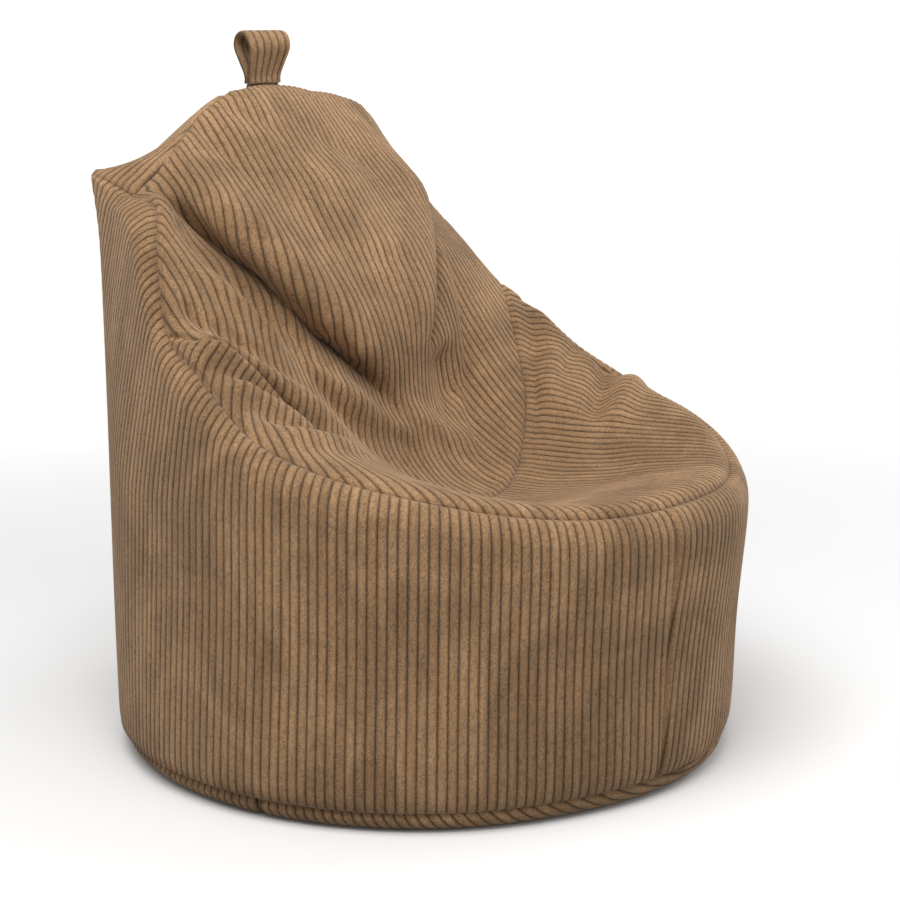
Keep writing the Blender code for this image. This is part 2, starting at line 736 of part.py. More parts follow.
def main():
    clear_scene()
    tub = Tub()
    cover_panels(tub)
    base_panels(tub)
    zip_fastener("cover_zip", COVER_ZIP_LENGTH, 0.0, COVER_THICKNESS, (0.16, 0.10, 0.06))
    liner(tub)
    zip_fastener("liner_zip", LINER_ZIP_LENGTH, LINER_ZIP_Y, LINER_LIFT + LINER_THICKNESS, (0.55, 0.53, 0.50))
    bead_filling(tub)
    carry_handle()


main()
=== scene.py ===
import math

import bmesh
import bpy
import numpy as np
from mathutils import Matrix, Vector, kdtree
from mathutils.bvhtree import BVHTree


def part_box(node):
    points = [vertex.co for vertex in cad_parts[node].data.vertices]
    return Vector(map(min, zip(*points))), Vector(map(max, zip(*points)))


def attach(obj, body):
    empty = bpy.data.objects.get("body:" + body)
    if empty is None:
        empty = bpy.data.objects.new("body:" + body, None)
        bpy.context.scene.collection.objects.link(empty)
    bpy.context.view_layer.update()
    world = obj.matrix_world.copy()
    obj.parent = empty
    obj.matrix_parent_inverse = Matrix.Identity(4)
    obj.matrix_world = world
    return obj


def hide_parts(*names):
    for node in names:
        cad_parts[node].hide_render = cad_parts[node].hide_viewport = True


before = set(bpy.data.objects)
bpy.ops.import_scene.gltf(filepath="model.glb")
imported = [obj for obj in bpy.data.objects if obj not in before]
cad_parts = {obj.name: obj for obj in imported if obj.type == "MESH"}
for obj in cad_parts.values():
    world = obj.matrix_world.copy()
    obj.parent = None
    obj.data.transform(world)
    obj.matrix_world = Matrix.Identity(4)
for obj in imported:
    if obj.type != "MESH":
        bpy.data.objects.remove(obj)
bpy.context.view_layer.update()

bpy.ops.object.select_all(action="DESELECT")

# ---------------------------------------------------------------------------------------------
# The filled tub: the shape that the beads push the cover out to, with its hollows and folds.
# Angles go round from the front, where it is 0, and are negative on the sitter's right. Every
# panel of the cover is cut from this one surface, so the panels meet at their seams.
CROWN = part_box("top_gusset")[1].z
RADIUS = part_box("outer_wall_left")[1].x
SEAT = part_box("inner_back")[0].z
BACK = CROWN - 0.006
BASE_ROLL = 0.034
BASE_SEAM = 0.022
FRONT_SEAM, NOTCH, EAR, CORNER = -12, 113, 138, 147
ANGLE_STEP = 1.0
ROLL_ROWS, WALL_ROWS, GUSSET_ROWS, INNER_ROWS = 8, 44, 8, 76

# angle; then, as shares of the radius, the base seam, the middle, the swelling under the rim
# and the rim seam; then how far up from the seat to the crown the rim seam is
WALL = (
    (0, 0.922, 0.956, 0.985, 0.930, 0.078),
    (30, 0.920, 0.951, 0.976, 0.926, 0.082),
    (60, 0.957, 0.981, 0.998, 0.940, 0.145),
    (90, 0.983, 0.991, 0.995, 0.930, 0.246),
    (105, 0.991, 0.997, 0.995, 0.936, 0.382),
    (NOTCH, 0.997, 1.002, 0.995, 0.957, 0.463),
    (121, 1.000, 1.010, 0.990, 0.927, 0.643),
    (129, 1.006, 1.024, 0.985, 0.898, 0.745),
    (EAR, 1.012, 1.036, 1.010, 0.960, 0.777),
    (CORNER, 1.016, 1.048, 1.062, 1.068, 0.811),
    (158, 0.998, 1.030, 1.030, 1.006, 0.806),
    (180, 0.955, 0.985, 0.984, 0.945, 0.826),
)
# the seam between gusset and inner back: angle, x, y, rise
TOP_SEAM = (
    (EAR, 0.645, 0.704, 0.777),
    (CORNER, 0.535, 0.655, 0.905),
    (158, 0.392, 0.672, 0.976),
    (169, 0.205, 0.683, 0.995),
    (180, 0.000, 0.688, 0.994),
)
# the inside, from the rim down to the middle of the seat: five points x, y, rise at each angle
INSIDE = (
    (0, 0, -0.860, 0.094, 0, -0.660, 0.066, 0, -0.510, 0.036, 0, -0.350, 0.012, 0, -0.270, 0.003),
    (30, 0.430, -0.745, 0.098, 0.315, -0.600, 0.070, 0.240, -0.480, 0.038,
     0.140, -0.345, 0.012, 0.060, -0.265, 0.003),
    (60, 0.740, -0.435, 0.160, 0.540, -0.375, 0.118, 0.430, -0.345, 0.072,
     0.270, -0.270, 0.024, 0.110, -0.220, 0.005),
    (90, 0.830, -0.010, 0.260, 0.620, -0.055, 0.205, 0.490, -0.095, 0.125,
     0.330, -0.150, 0.048, 0.150, -0.185, 0.010),
    (NOTCH, 0.850, 0.290, 0.450, 0.690, 0.130, 0.300, 0.545, 0.005, 0.178,
     0.350, -0.095, 0.066, 0.160, -0.165, 0.015),
    (129, 0.672, 0.530, 0.735, 0.560, 0.330, 0.545, 0.460, 0.200, 0.350,
     0.310, 0.080, 0.150, 0.140, -0.080, 0.030),
    (EAR, 0.600, 0.570, 0.770, 0.505, 0.315, 0.560, 0.412, 0.190, 0.372,
     0.272, 0.092, 0.164, 0.120, -0.060, 0.036),
    (CORNER, 0.510, 0.600, 0.880, 0.440, 0.300, 0.590, 0.360, 0.180, 0.400,
     0.230, 0.105, 0.180, 0.100, -0.040, 0.042),
    (180, 0, 0.600, 0.985, 0, 0.240, 0.590, 0, 0.125, 0.400, 0, 0.095, 0.190, 0, -0.020, 0.048),
)
SEAT_MIDDLE = -0.190


def round_the_tub(stations, angles, odd=()):
    """Values at many angles on smooth curves through stations mirrored left to right."""
    rows = np.array(stations, float)
    flip = np.ones(rows.shape[1])
    flip[[0, *odd]] = -1.0
    before = rows[1] * flip if rows[0, 0] == 0 else rows[0] * 2 - rows[1]
    after = rows[-2] * flip
    after[0] += 360.0
    rows = np.vstack([before, rows, after])
    spot = np.abs(angles)
    low = np.clip(np.searchsorted(rows[:, 0], spot, side="left") - 1, 1, len(rows) - 3)
    a, b, c, d = (rows[low + n] for n in (-1, 0, 1, 2))
    span = (c - b)[:, :1]
    t = np.clip((spot[:, None] - b[:, :1]) / span, 0, 1)
    slope_b = (c - a) / (c - a)[:, :1] * span
    slope_c = (d - b) / (d - b)[:, :1] * span
    values = (2 * t**3 - 3 * t**2 + 1) * b + (t**3 - 2 * t**2 + t) * slope_b
    values += (3 * t**2 - 2 * t**3) * c + (t**3 - t**2) * slope_c
    values[:, list(odd)] *= np.where(angles < 0, -1.0, 1.0)[:, None]
    return values[:, 1:]


def along(points, steps):
    """Points evenly spaced on a smooth curve through the given ones, for every angle at once.
    points is angles x given points x 3."""
    ends = [2 * points[:, :1] - points[:, 1:2], points, 2 * points[:, -1:] - points[:, -2:-1]]
    p = np.concatenate(ends, axis=1)
    fine = []
    for n in range(p.shape[1] - 3):
        a, b, c, d = (p[:, n + k] for k in range(4))
        for t in np.linspace(0, 1, 24, endpoint=False):
            curve = 2 * b + (c - a) * t + (2 * a - 5 * b + 4 * c - d) * t**2
            fine.append(0.5 * (curve + (3 * b - a - 3 * c + d) * t**3))
    fine = np.stack(fine + [p[:, -2]], axis=1)
    run = np.linalg.norm(np.diff(fine, axis=1), axis=2).cumsum(axis=1)
    run = np.concatenate([np.zeros((len(run), 1)), run], axis=1)
    out = np.empty((len(p), steps + 1, 3))
    for row, (r, f) in enumerate(zip(run, fine)):
        wanted = np.linspace(0, r[-1], steps + 1)
        for axis in range(3):
            out[row, :, axis] = np.interp(wanted, r, f[:, axis])
    return out


def rise_to(rise):
    return SEAT + rise * (BACK - SEAT)


angles = np.arange(-180.0, 180.0, ANGLE_STEP)
base, middle, swell, rim, rim_rise = round_the_tub(WALL, angles).T
turn = np.radians(angles)
outwards = np.stack([np.sin(turn), -np.cos(turn), 0 * turn], axis=1)


def ring(radius, z):
    points = outwards * np.reshape(radius, (-1, 1)) * RADIUS
    points[:, 2] = z
    return points


rim_z = rise_to(rim_rise)
rim_seam = ring(rim, rim_z)
flat_radius = base - BASE_ROLL / RADIUS
rolled = along(np.stack([
    ring(flat_radius, 0 * rim_z),
    ring(flat_radius + 0.52 * BASE_ROLL / RADIUS, 0.10 * BASE_SEAM + 0 * rim_z),
    ring(base - 0.12 * BASE_ROLL / RADIUS, 0.48 * BASE_SEAM + 0 * rim_z),
    ring(base, BASE_SEAM + 0 * rim_z),
], axis=1), ROLL_ROWS)
wall = along(np.stack([
    ring(base, BASE_SEAM + 0 * rim_z),
    ring(base + 0.020, BASE_SEAM + 0.030 + 0 * rim_z),
    ring(middle, 0.5 * rim_z),
    ring(swell, rim_z - 0.045),
    ring(0.3 * rim + 0.7 * swell, rim_z - 0.013),
    rim_seam,
], axis=1), WALL_ROWS)
top_seam = rim_seam.copy()
behind = np.abs(angles) > EAR
tops = round_the_tub(TOP_SEAM, angles[behind], odd=(1,))
top_seam[behind] = np.stack([tops[:, 0] * RADIUS, tops[:, 1] * RADIUS, rise_to(tops[:, 2])], axis=1)
crown = 0.5 * (rim_seam + top_seam)
crown += np.array([0, 0.003, 0.007]) * (np.clip((np.abs(angles) - 146) / 24, 0.25, 1) * behind)[:, None]
gusset = along(np.stack([rim_seam, crown, top_seam], axis=1), GUSSET_ROWS)
inside = round_the_tub(INSIDE, angles, odd=(1, 4, 7, 10, 13)).reshape(-1, 5, 3)
inside[:, :, :2] *= RADIUS
inside[:, :, 2] = rise_to(inside[:, :, 2])
seat_middle = np.tile([0, SEAT_MIDDLE * RADIUS, SEAT], (len(angles), 1, 1))
inner = along(np.concatenate([top_seam[:, None], inside, seat_middle], axis=1), INNER_ROWS)
flat = ring(flat_radius, 0 * rim_z)[:, None] * np.linspace(0, 1, 13)[None, :-1, None]

BASE_RING = flat.shape[1] + ROLL_ROWS
RIM_RING = BASE_RING + WALL_ROWS
TOP_RING = RIM_RING + GUSSET_ROWS
MIDDLE_RING = TOP_RING + INNER_ROWS
tub = np.concatenate([flat, rolled, wall[:, 1:], gusset[:, 1:], inner[:, 1:]], axis=1)

# how the two sides have settled differently: angle, lift of the top seam, lift of the rim seam
SETTLED = (
    (-168, 0.002, 0), (-163, -0.008, 0), (-157, -0.024, 0), (-150, -0.026, 0), (-144, -0.022, 0),
    (-138, -0.005, -0.003), (-130, 0, 0), (70, 0, 0), (80, 0.003, 0.003), (90, 0.010, 0.010),
    (100, 0.015, 0.015), (108, 0.004, 0.004), (115, -0.014, -0.014), (124, -0.020, -0.020),
    (133, -0.012, -0.012), (144, 0.006, -0.002), (150, 0.009, 0), (158, 0.003, 0), (168, -0.003, 0),
)
settled = np.array(SETTLED).T
top_lift, rim_lift = (np.interp(angles, settled[0], row, period=360)[:, None] for row in settled[1:])
ring_number = np.arange(tub.shape[1])[None, :]
up_wall = np.clip((ring_number - RIM_RING + 14) / 14, 0, 1) ** 2
up_gusset = np.clip((ring_number - RIM_RING) / GUSSET_ROWS, 0, 1) ** 0.6
down_inside = np.clip((TOP_RING + 26 - ring_number) / 26, 0, 1) ** 2
lifted = np.where(ring_number <= RIM_RING, rim_lift * up_wall,
                  (rim_lift + (top_lift - rim_lift) * up_gusset) * down_inside)
tub[:, :, 2] += lifted
# the ear on the sitter's right is drawn out to a point
ear_tip = np.exp(-((angles + 148) / 5.5) ** 2)[:, None] * np.exp(-((ring_number - RIM_RING) / 3.5) ** 2)
tub += np.array([-0.004, 0.006, 0.002]) * ear_tip[:, :, None]


def directions_out(points, rounds):
    """The direction straight out of the surface at each point, evened out."""
    round_it = np.roll(points, -1, axis=0) - np.roll(points, 1, axis=0)
    up_it = np.gradient(points, axis=1)
    no_gusset = np.abs(angles) <= EAR
    across = points[:, TOP_RING + 1] - points[:, RIM_RING - 1]
    up_it[no_gusset, RIM_RING : TOP_RING + 1] = across[no_gusset, None]
    out = np.cross(round_it, up_it)
    out /= np.maximum(np.linalg.norm(out, axis=2, keepdims=True), 1e-12)
    for _ in range(rounds):
        out = out + 0.5 * (np.roll(out, 1, axis=0) + np.roll(out, -1, axis=0))
        out[:, 1:-1] += 0.5 * (out[:, :-2] + out[:, 2:])
        seam = out[no_gusset, RIM_RING : TOP_RING + 1].mean(axis=1, keepdims=True)
        out[no_gusset, RIM_RING : TOP_RING + 1] = seam
        out /= np.maximum(np.linalg.norm(out, axis=2, keepdims=True), 1e-12)
    out[:, : flat.shape[1]] = (0, 0, -1)
    out[:, MIDDLE_RING] = (0, 0, 1)
    return out


smooth_tub = tub.copy()
smooth_out = directions_out(tub, 6)
PATH_STEPS = 60


def on_tub(angle, share):
    """A point on the smooth inside: its angle, and the share of the way from seam to middle."""
    column = (angle - angles[0]) / ANGLE_STEP
    row = TOP_RING + share * INNER_ROWS
    c, r = int(math.floor(column)), min(int(math.floor(row)), MIDDLE_RING - 1)
    u, v = column - c, row - r
    c, after = c % len(angles), (c + 1) % len(angles)
    low = smooth_tub[c, r] * (1 - u) + smooth_tub[after, r] * u
    high = smooth_tub[c, r + 1] * (1 - u) + smooth_tub[after, r + 1] * u
    return low * (1 - v) + high * v


def path_of(spots):
    points = np.array([on_tub(a, s) for a, s in spots])
    return along(points[None], PATH_STEPS)[0]


def beside(path):
    """How far each point of the tub is from a path, on which side, and how far along it."""
    gap = tub[:, :, None, :] - path
    apart = np.linalg.norm(gap, axis=3)
    near = apart.argmin(axis=2)
    away = np.take_along_axis(gap, near[:, :, None, None], axis=2)[:, :, 0]
    tangent = np.gradient(path, axis=0)[near]
    side = np.cross(smooth_out, tangent)
    side /= np.maximum(np.linalg.norm(side, axis=2, keepdims=True), 1e-9)
    sign = np.sign((away * side).sum(axis=2))
    return apart.min(axis=2) * sign, near / (len(path) - 1), side


def taper(share, start, end):
    """0 at the ends of a path that fade out and 1 along its middle."""
    amount = np.clip(np.minimum(share / start, (1 - share) / end), 0, 1)
    return amount * amount * (3 - 2 * amount)


def fold(spots, height, width, start=0.3, end=0.3):
    """A soft ridge, or with a height below 0 a soft valley, along a path on the inside."""
    global tub
    apart, share, _ = beside(path_of(spots))
    amount = np.exp(-((apart / width) ** 2)) * taper(share, start, end)
    tub = tub + smooth_out * (height * amount)[:, :, None]


def crease(spots, depth, width, lip, lip_width, over, start=0.1, end=0.3, under=0.0):
    """A sharp tuck. The cloth on its left side, going along the path, rolls over it, and under
    slides the bottom of the tuck beneath that side."""
    global tub
    apart, share, side = beside(path_of(spots))
    amount = taper(share, start, end)
    tuck = -depth * np.exp(-np.abs(apart) / width)
    near = np.clip(apart / lip_width, 0, None)
    bulge = lip * near * np.exp(1 - near) * (apart > 0)
    roll = -over * np.exp(-((apart / lip_width - 0.6) ** 2) / 0.5) * (apart > 0)
    tub = tub + smooth_out * ((tuck + bulge) * amount)[:, :, None]
    slid = under * np.exp(-((apart / (1.1 * width)) ** 2))
    tub = tub + side * ((roll + slid) * amount)[:, :, None]


# the deep tuck beside the head cushion, which rolls over it, on the sitter's right
crease(((-136, 0.02), (-137.5, 0.14), (-140, 0.30), (-147, 0.46), (-157, 0.62), (-172, 0.75)),
       0.074, 0.011, 0.028, 0.024, 0.018, start=0.28, end=0.42, under=0.026)
fold(((-131, 0.04), (-132, 0.20), (-135, 0.38), (-144, 0.60)), -0.020, 0.022, start=0.2, end=0.4)
# the same tuck on the left hangs open
crease(((167, 0.66), (162, 0.52), (151, 0.36), (143, 0.24), (135, 0.05)),
       0.038, 0.011, 0.018, 0.028, 0.012, start=0.25, end=0.3)
fold(((158, 0.60), (149, 0.67), (138, 0.70)), -0.014, 0.034)
fold(((-165, 0.72), (175, 0.78), (150, 0.80), (125, 0.72)), 0.010, 0.020)
# the arm rolls over the seam below the notch
fold(((-112, 0.03), (-113, 0.14), (-115, 0.26), (-118, 0.42), (-123, 0.68)),
     0.025, 0.019, start=0.12, end=0.6)
crease(((-117, 0.02), (-118, 0.12), (-120, 0.26), (-124, 0.50)),
       0.013, 0.012, 0.0, 0.02, 0.0, start=0.15, end=0.6)
fold(((-109, 0.05), (-108, 0.18), (-109, 0.32), (-113, 0.54)), -0.009, 0.011)
fold(((-104, 0.02), (-103, 0.14), (-103, 0.28), (-109, 0.52)), 0.018, 0.017, start=0.2, end=0.6)
fold(((-97, 0.04), (-95, 0.18), (-97, 0.40)), -0.007, 0.012)
fold(((-90, 0.03), (-87, 0.16), (-87, 0.32), (-96, 0.55)), 0.012, 0.018, start=0.2, end=0.6)
fold(((-124, 0.10), (-127, 0.28), (-134, 0.46)), 0.010, 0.012)
fold(((-126, 0.20), (-132, 0.42), (-142, 0.60), (-153, 0.80)), 0.012, 0.013)
fold(((-130, 0.34), (-137, 0.50), (-147, 0.66)), -0.008, 0.012)
fold(((-146, 0.55), (-150, 0.66), (-160, 0.75), (178, 0.82)), 0.009, 0.012)
# the head cushion: puckers below its seam and soft dents across it
fold(((-158, 0.01), (-156, 0.12), (-158, 0.22)), -0.005, 0.010, start=0.1, end=0.5)
fold(((-163, 0.02), (-168, 0.10), (-176, 0.17)), -0.005, 0.012, start=0.1, end=0.5)
fold(((-152, 0.04), (-150, 0.16), (-152, 0.28)), 0.004, 0.013)
fold(((-175, 0.10), (170, 0.20), (160, 0.26)), -0.003, 0.014)
fold(((-165, 0.40), (175, 0.46), (162, 0.42)), -0.004, 0.016)
# the arm on the sitter's left gathers in folds where it bends
fold(((84, 0.0), (79, 0.16), (71, 0.42)), -0.014, 0.015, start=0.1)
fold(((77, 0.0), (72, 0.16), (64, 0.36)), 0.009, 0.016, start=0.1)
fold(((92, 0.0), (90, 0.14), (88, 0.30)), -0.005, 0.010, start=0.1)
fold(((106, 0.0), (104, 0.14), (99, 0.30)), -0.005, 0.011, start=0.1)
fold(((96, 0.06), (92, 0.28), (86, 0.50)), 0.006, 0.018)
# the head cushion stands out in the middle
fold(((180, 0.18), (180, 0.34), (180, 0.52)), 0.012, 0.075)
fold(((160, 0.04), (154, 0.14), (154, 0.30)), 0.006, 0.045, start=0.3)

# ---------------------------------------------------------------------------------------------
# The beads: loose expanded polystyrene, 2 to 5 mm across, that take the liner's shape under
# its own weight. They are one body here, flat underneath and rough with bead tops.
tub_out = directions_out(tub, 2)


def skin_inside(name, depth, lowest):
    """A closed skin at one depth inside the cover, passing beneath its folds."""
    columns = np.arange(0, len(angles), 2)
    rows = np.r_[np.arange(3, RIM_RING, 2), RIM_RING : TOP_RING : 2, np.arange(TOP_RING, MIDDLE_RING, 2)]
    height = ((tub - smooth_tub) * smooth_out).sum(axis=2)
    for n in range(12):
        height = np.minimum(height, np.minimum(np.roll(height, 1, axis=0), np.roll(height, -1, axis=0)))
        if n % 3 == 0:
            height[:, 1:-1] = np.minimum(height[:, 1:-1], np.minimum(height[:, :-2], height[:, 2:]))
    for _ in range(4):
        height = (height + np.roll(height, 2, axis=0) + np.roll(height, -2, axis=0)) / 3
    points = (smooth_tub + smooth_out * (height - depth)[:, :, None])[columns][:, rows]
    points[:, :, 2] = np.maximum(points[:, :, 2], lowest)
    spots = points.reshape(-1, 3).tolist()
    wide = len(rows)
    spots.append([0.0, 0.0, lowest])
    spots.append((tub[0, MIDDLE_RING] - (0, 0, depth)).tolist())
    faces = []
    for n in range(len(columns)):
        here, after = n * wide, (n + 1) % len(columns) * wide
        faces.append((len(spots) - 2, after, here))
        faces += [(here + r, after + r, after + r + 1, here + r + 1) for r in range(wide - 1)]
        faces.append((here + wide - 1, after + wide - 1, len(spots) - 1))
    work = bmesh.new()
    made = [work.verts.new(spot) for spot in spots]
    for face in faces:
        work.faces.new([made[n] for n in face])
    bmesh.ops.remove_doubles(work, verts=work.verts, dist=2e-5)
    bmesh.ops.recalc_face_normals(work, faces=work.faces)
    data = bpy.data.meshes.new(name)
    work.to_mesh(data)
    work.free()
    data.shade_smooth()
    piece = bpy.data.objects.new(name, data)
    bpy.context.scene.collection.objects.link(piece)
    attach(piece, "bag")
    return piece


def plain_finish(name, colour, roughness, metallic=0.0, bump=None):
    """One colour, with an optional bump: the kind of texture, its scale and its height."""
    made = bpy.data.materials.new(name)
    made.use_nodes = True
    nodes, links = made.node_tree.nodes, made.node_tree.links
    shader = nodes["Principled BSDF"]
    shader.inputs["Base Color"].default_value = (*colour, 1)
    shader.inputs["Roughness"].default_value = roughness
    shader.inputs["Metallic"].default_value = metallic
    if bump:
        kind, scale, height = bump
        place = nodes.new("ShaderNodeTexCoord")
        grain = nodes.new(kind)
        grain.inputs["Scale"].default_value = scale
        links.new(place.outputs["Object"], grain.inputs["Vector"])
        raised = nodes.new("ShaderNodeBump")
        raised.inputs["Distance"].default_value = height
        out = grain.outputs["Distance"] if "Distance" in grain.outputs else grain.outputs[0]
        links.new(out, raised.inputs["Height"])
        links.new(raised.outputs[0], shader.inputs["Normal"])
    return made


BEADS_DEPTH = 0.0135
beads = skin_inside("bead_body", BEADS_DEPTH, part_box("bead_filling")[0].z)
beads.data.materials.append(
    plain_finish("polystyrene_beads", (0.86, 0.86, 0.84), 0.55,
                 bump=("ShaderNodeTexVoronoi", 260, -0.0015)))
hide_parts("bead_filling")

# ---------------------------------------------------------------------------------------------
# The liner: a thin woven polyester bag, cut like the cover, that holds the beads when the cover
# comes off for washing. A zip in its base lets beads be topped up.
def block(name, low, high, soften, finish, body, node=None):
    """A rectangular piece with softened edges."""
    bpy.ops.object.select_all(action="DESELECT")
    bpy.ops.mesh.primitive_cube_add(size=1.0)
    piece = bpy.context.object
    piece.name = name
    bpy.ops.transform.resize(value=[b - a for a, b in zip(low, high)])
    bpy.ops.transform.translate(value=[(a + b) / 2 for a, b in zip(low, high)])
    bpy.ops.object.transform_apply(location=True, rotation=True, scale=True)
    if soften:
        edge = piece.modifiers.new("soften", "BEVEL")
        edge.width, edge.segments = soften, 2
    piece.data.materials.append(finish)
    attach(piece, body)
    if node:
        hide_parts(node)
    return piece


LINER_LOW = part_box("inner_liner")[0].z
LINER_CLOTH = 0.0006
LINER_DEPTH = 0.0088
TAPE_SHOWS = 0.0045
liner = skin_inside("liner_bag", LINER_DEPTH, LINER_LOW)
liner.data.materials.append(
    plain_finish("liner_polyester", (0.80, 0.79, 0.76), 0.62, bump=("ShaderNodeTexNoise", 38, 0.004)))
cloth = liner.modifiers.new("cloth", "SOLIDIFY")
cloth.thickness, cloth.offset = LINER_CLOTH, -1
opening_low, opening_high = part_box("liner_zip_teeth_front")[0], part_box("liner_zip_teeth_rear")[1]
opening = block("liner_opening", (opening_low.x, opening_low.y - TAPE_SHOWS, LINER_LOW - 0.004),
                (opening_high.x, opening_high.y + TAPE_SHOWS, LINER_LOW + 0.004), 0,
                liner.data.materials[0], "bag")
cut = liner.modifiers.new("opening", "BOOLEAN")
cut.operation, cut.object = "DIFFERENCE", opening
bpy.ops.object.select_all(action="DESELECT")
bpy.context.view_layer.objects.active = liner
liner.select_set(True)
bpy.ops.object.modifier_apply(modifier="cloth")
bpy.ops.object.modifier_apply(modifier="opening")
bpy.data.objects.remove(opening)
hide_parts("inner_liner")

# ---------------------------------------------------------------------------------------------
# The liner's zip: two woven tapes sewn under the edges of its opening, a row of moulded teeth on
# each, end stops, and a slider without a pull, so that a child can't open it.
TOOTH_PITCH, TOOTH_SHARE = 0.0022, 0.4
SLIDER_PLATE = 0.0012


def zip_fastener(prefix, body, tape_colour, tooth_colour):
    """One whole zip in the CAD zip's place. Its slider rides on body and the rest on the bag."""
    tape_finish = plain_finish(prefix + "_tape_cloth", tape_colour, 0.85,
                               bump=("ShaderNodeTexNoise", 900, 0.0004))
    tooth_finish = plain_finish(prefix + "_tooth_resin", tooth_colour, 0.38)
    metal = plain_finish(prefix + "_slider_metal", (0.46, 0.42, 0.36), 0.32, 1.0)
    for row in ("front", "rear"):
        low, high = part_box(f"{prefix}_tape_{row}")
        block(f"{prefix}_woven_{row}", low, high, 0.0002, tape_finish, "bag",
              f"{prefix}_tape_{row}")
        low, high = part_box(f"{prefix}_teeth_{row}")
        count = int((high.x - low.x) / TOOTH_PITCH)
        pitch = (high.x - low.x) / count
        start = low.x + (0.15 if row == "front" else 0.45) * pitch
        tooth_end = start + TOOTH_SHARE * pitch
        teeth = block(f"{prefix}_coil_{row}", (start, low.y, low.z), (tooth_end, high.y, high.z),
                      0.00025, tooth_finish, "bag", f"{prefix}_teeth_{row}")
        teeth.modifiers["soften"].segments = 1
        run = teeth.modifiers.new("run", "ARRAY")
        run.use_relative_offset, run.use_constant_offset = False, True
        run.constant_offset_displace, run.count = (pitch, 0, 0), count
    for end in ("closed", "open"):
        low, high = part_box(f"{prefix}_stop_{end}")
        block(f"{prefix}_end_stop_{end}", low, high, 0.0004, metal, "bag",
              f"{prefix}_stop_{end}")
    low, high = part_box(prefix + "_slider")
    middle = (low.y + high.y) / 2
    lower = block(prefix + "_slider_body", low, (high.x, high.y, low.z + SLIDER_PLATE), 0.0005,
                  metal, body, prefix + "_slider")
    upper = block("upper", (low.x + 0.0008, low.y + 0.0004, high.z - SLIDER_PLATE),
                  (high.x - 0.0008, high.y - 0.0004, high.z), 0.0005, metal, body)
    post = block("post", (high.x - 0.006, middle - 0.0003, low.z + 0.0006),
                 (high.x - 0.001, middle + 0.0003, high.z - 0.0006), 0.0001, metal, body)
    bpy.ops.object.select_all(action="DESELECT")
    for part in (lower, upper, post):
        part.select_set(True)
        bpy.context.view_layer.objects.active = part
        bpy.ops.object.modifier_apply(modifier="soften")
    bpy.context.view_layer.objects.active = lower
    bpy.ops.object.join()
    lower.data.shade_smooth()


zip_fastener("liner_zip", "liner_slider", (0.72, 0.71, 0.68), (0.66, 0.64, 0.60))

# ---------------------------------------------------------------------------------------------
# Jumbo corduroy, cut flat and sewn: each panel is laid out flat as a cutter would, its wales run
# straight across the flat piece, and it is then put back on the tub with every wale as real pile.
WALE = 0.0107
# the outline of one wale across its width: places from groove to groove, and heights there
WALE_SPOTS = (0.0, 0.06, 0.18, 0.36, 0.64, 0.82, 0.94)
WALE_RISES = (0.0, 0.55, 0.88, 1.0, 1.0, 0.88, 0.55)
PILE_HEIGHT = 0.0019
# how much of the tub's roundness between its points the cloth follows
ROUNDING = 0.7
CLOTH_BACK = 0.0012
# the cloth sinks in at a seam, and starts to this far from it
SEAM_DIP = 0.0030
SEAM_REACH = 0.0065
# how far apart the mesh's points are along a wale, in most panels and in the two tall walls
ROW, WALL_ROW = 0.0085, 0.0110


def between(start, end):
    """Column numbers from one angle round to another."""
    span = int(round(((end - start) % 360) / ANGLE_STEP))
    first = int(round((start - angles[0]) / ANGLE_STEP))
    return (first + np.arange(span + 1)) % len(angles)


def squares(columns, rows, tip_first, tip_last):
    """Grid points of one panel as numbers into the tub, and the squares between them. A panel
    that reaches the middle of the base or of the seat closes there in one point."""
    index = columns[:, None] * tub.shape[1] + rows[None, :]
    spots = list(index.ravel())
    place = np.arange(index.size).reshape(index.shape)
    corners = np.stack([place[:-1, :-1], place[1:, :-1], place[1:, 1:], place[:-1, 1:]], axis=-1)
    cells = corners.reshape(-1, 4).tolist()
    if tip_first:
        spots.append(int(columns[0] * tub.shape[1]))
        cells += [[index.size, int(q), int(p)] for p, q in zip(place[:-1, 0], place[1:, 0])]
    if tip_last:
        spots.append(int(columns[0] * tub.shape[1] + MIDDLE_RING))
        cells += [[int(p), int(q), index.size] for p, q in zip(place[:-1, -1], place[1:, -1])]
    return np.array(spots), cells


def fill_in(values, at, count):
    """Values along the first axis on smooth curves through those given at some places."""
    at = np.array(at, float)
    slopes = np.gradient(values, at, axis=0)
    wanted = np.arange(count)
    k = np.clip(np.searchsorted(at, wanted, side="right") - 1, 0, len(at) - 2)
    step = (at[k + 1] - at[k]).reshape(-1, *[1] * (values.ndim - 1))
    t = (wanted - at[k]).reshape(step.shape) / step
    curve = (2 * t**3 - 3 * t**2 + 1) * values[k] + (t**3 - 2 * t**2 + t) * step * slopes[k]
    return curve + (3 * t**2 - 2 * t**3) * values[k + 1] + (t**3 - t**2) * step * slopes[k + 1]


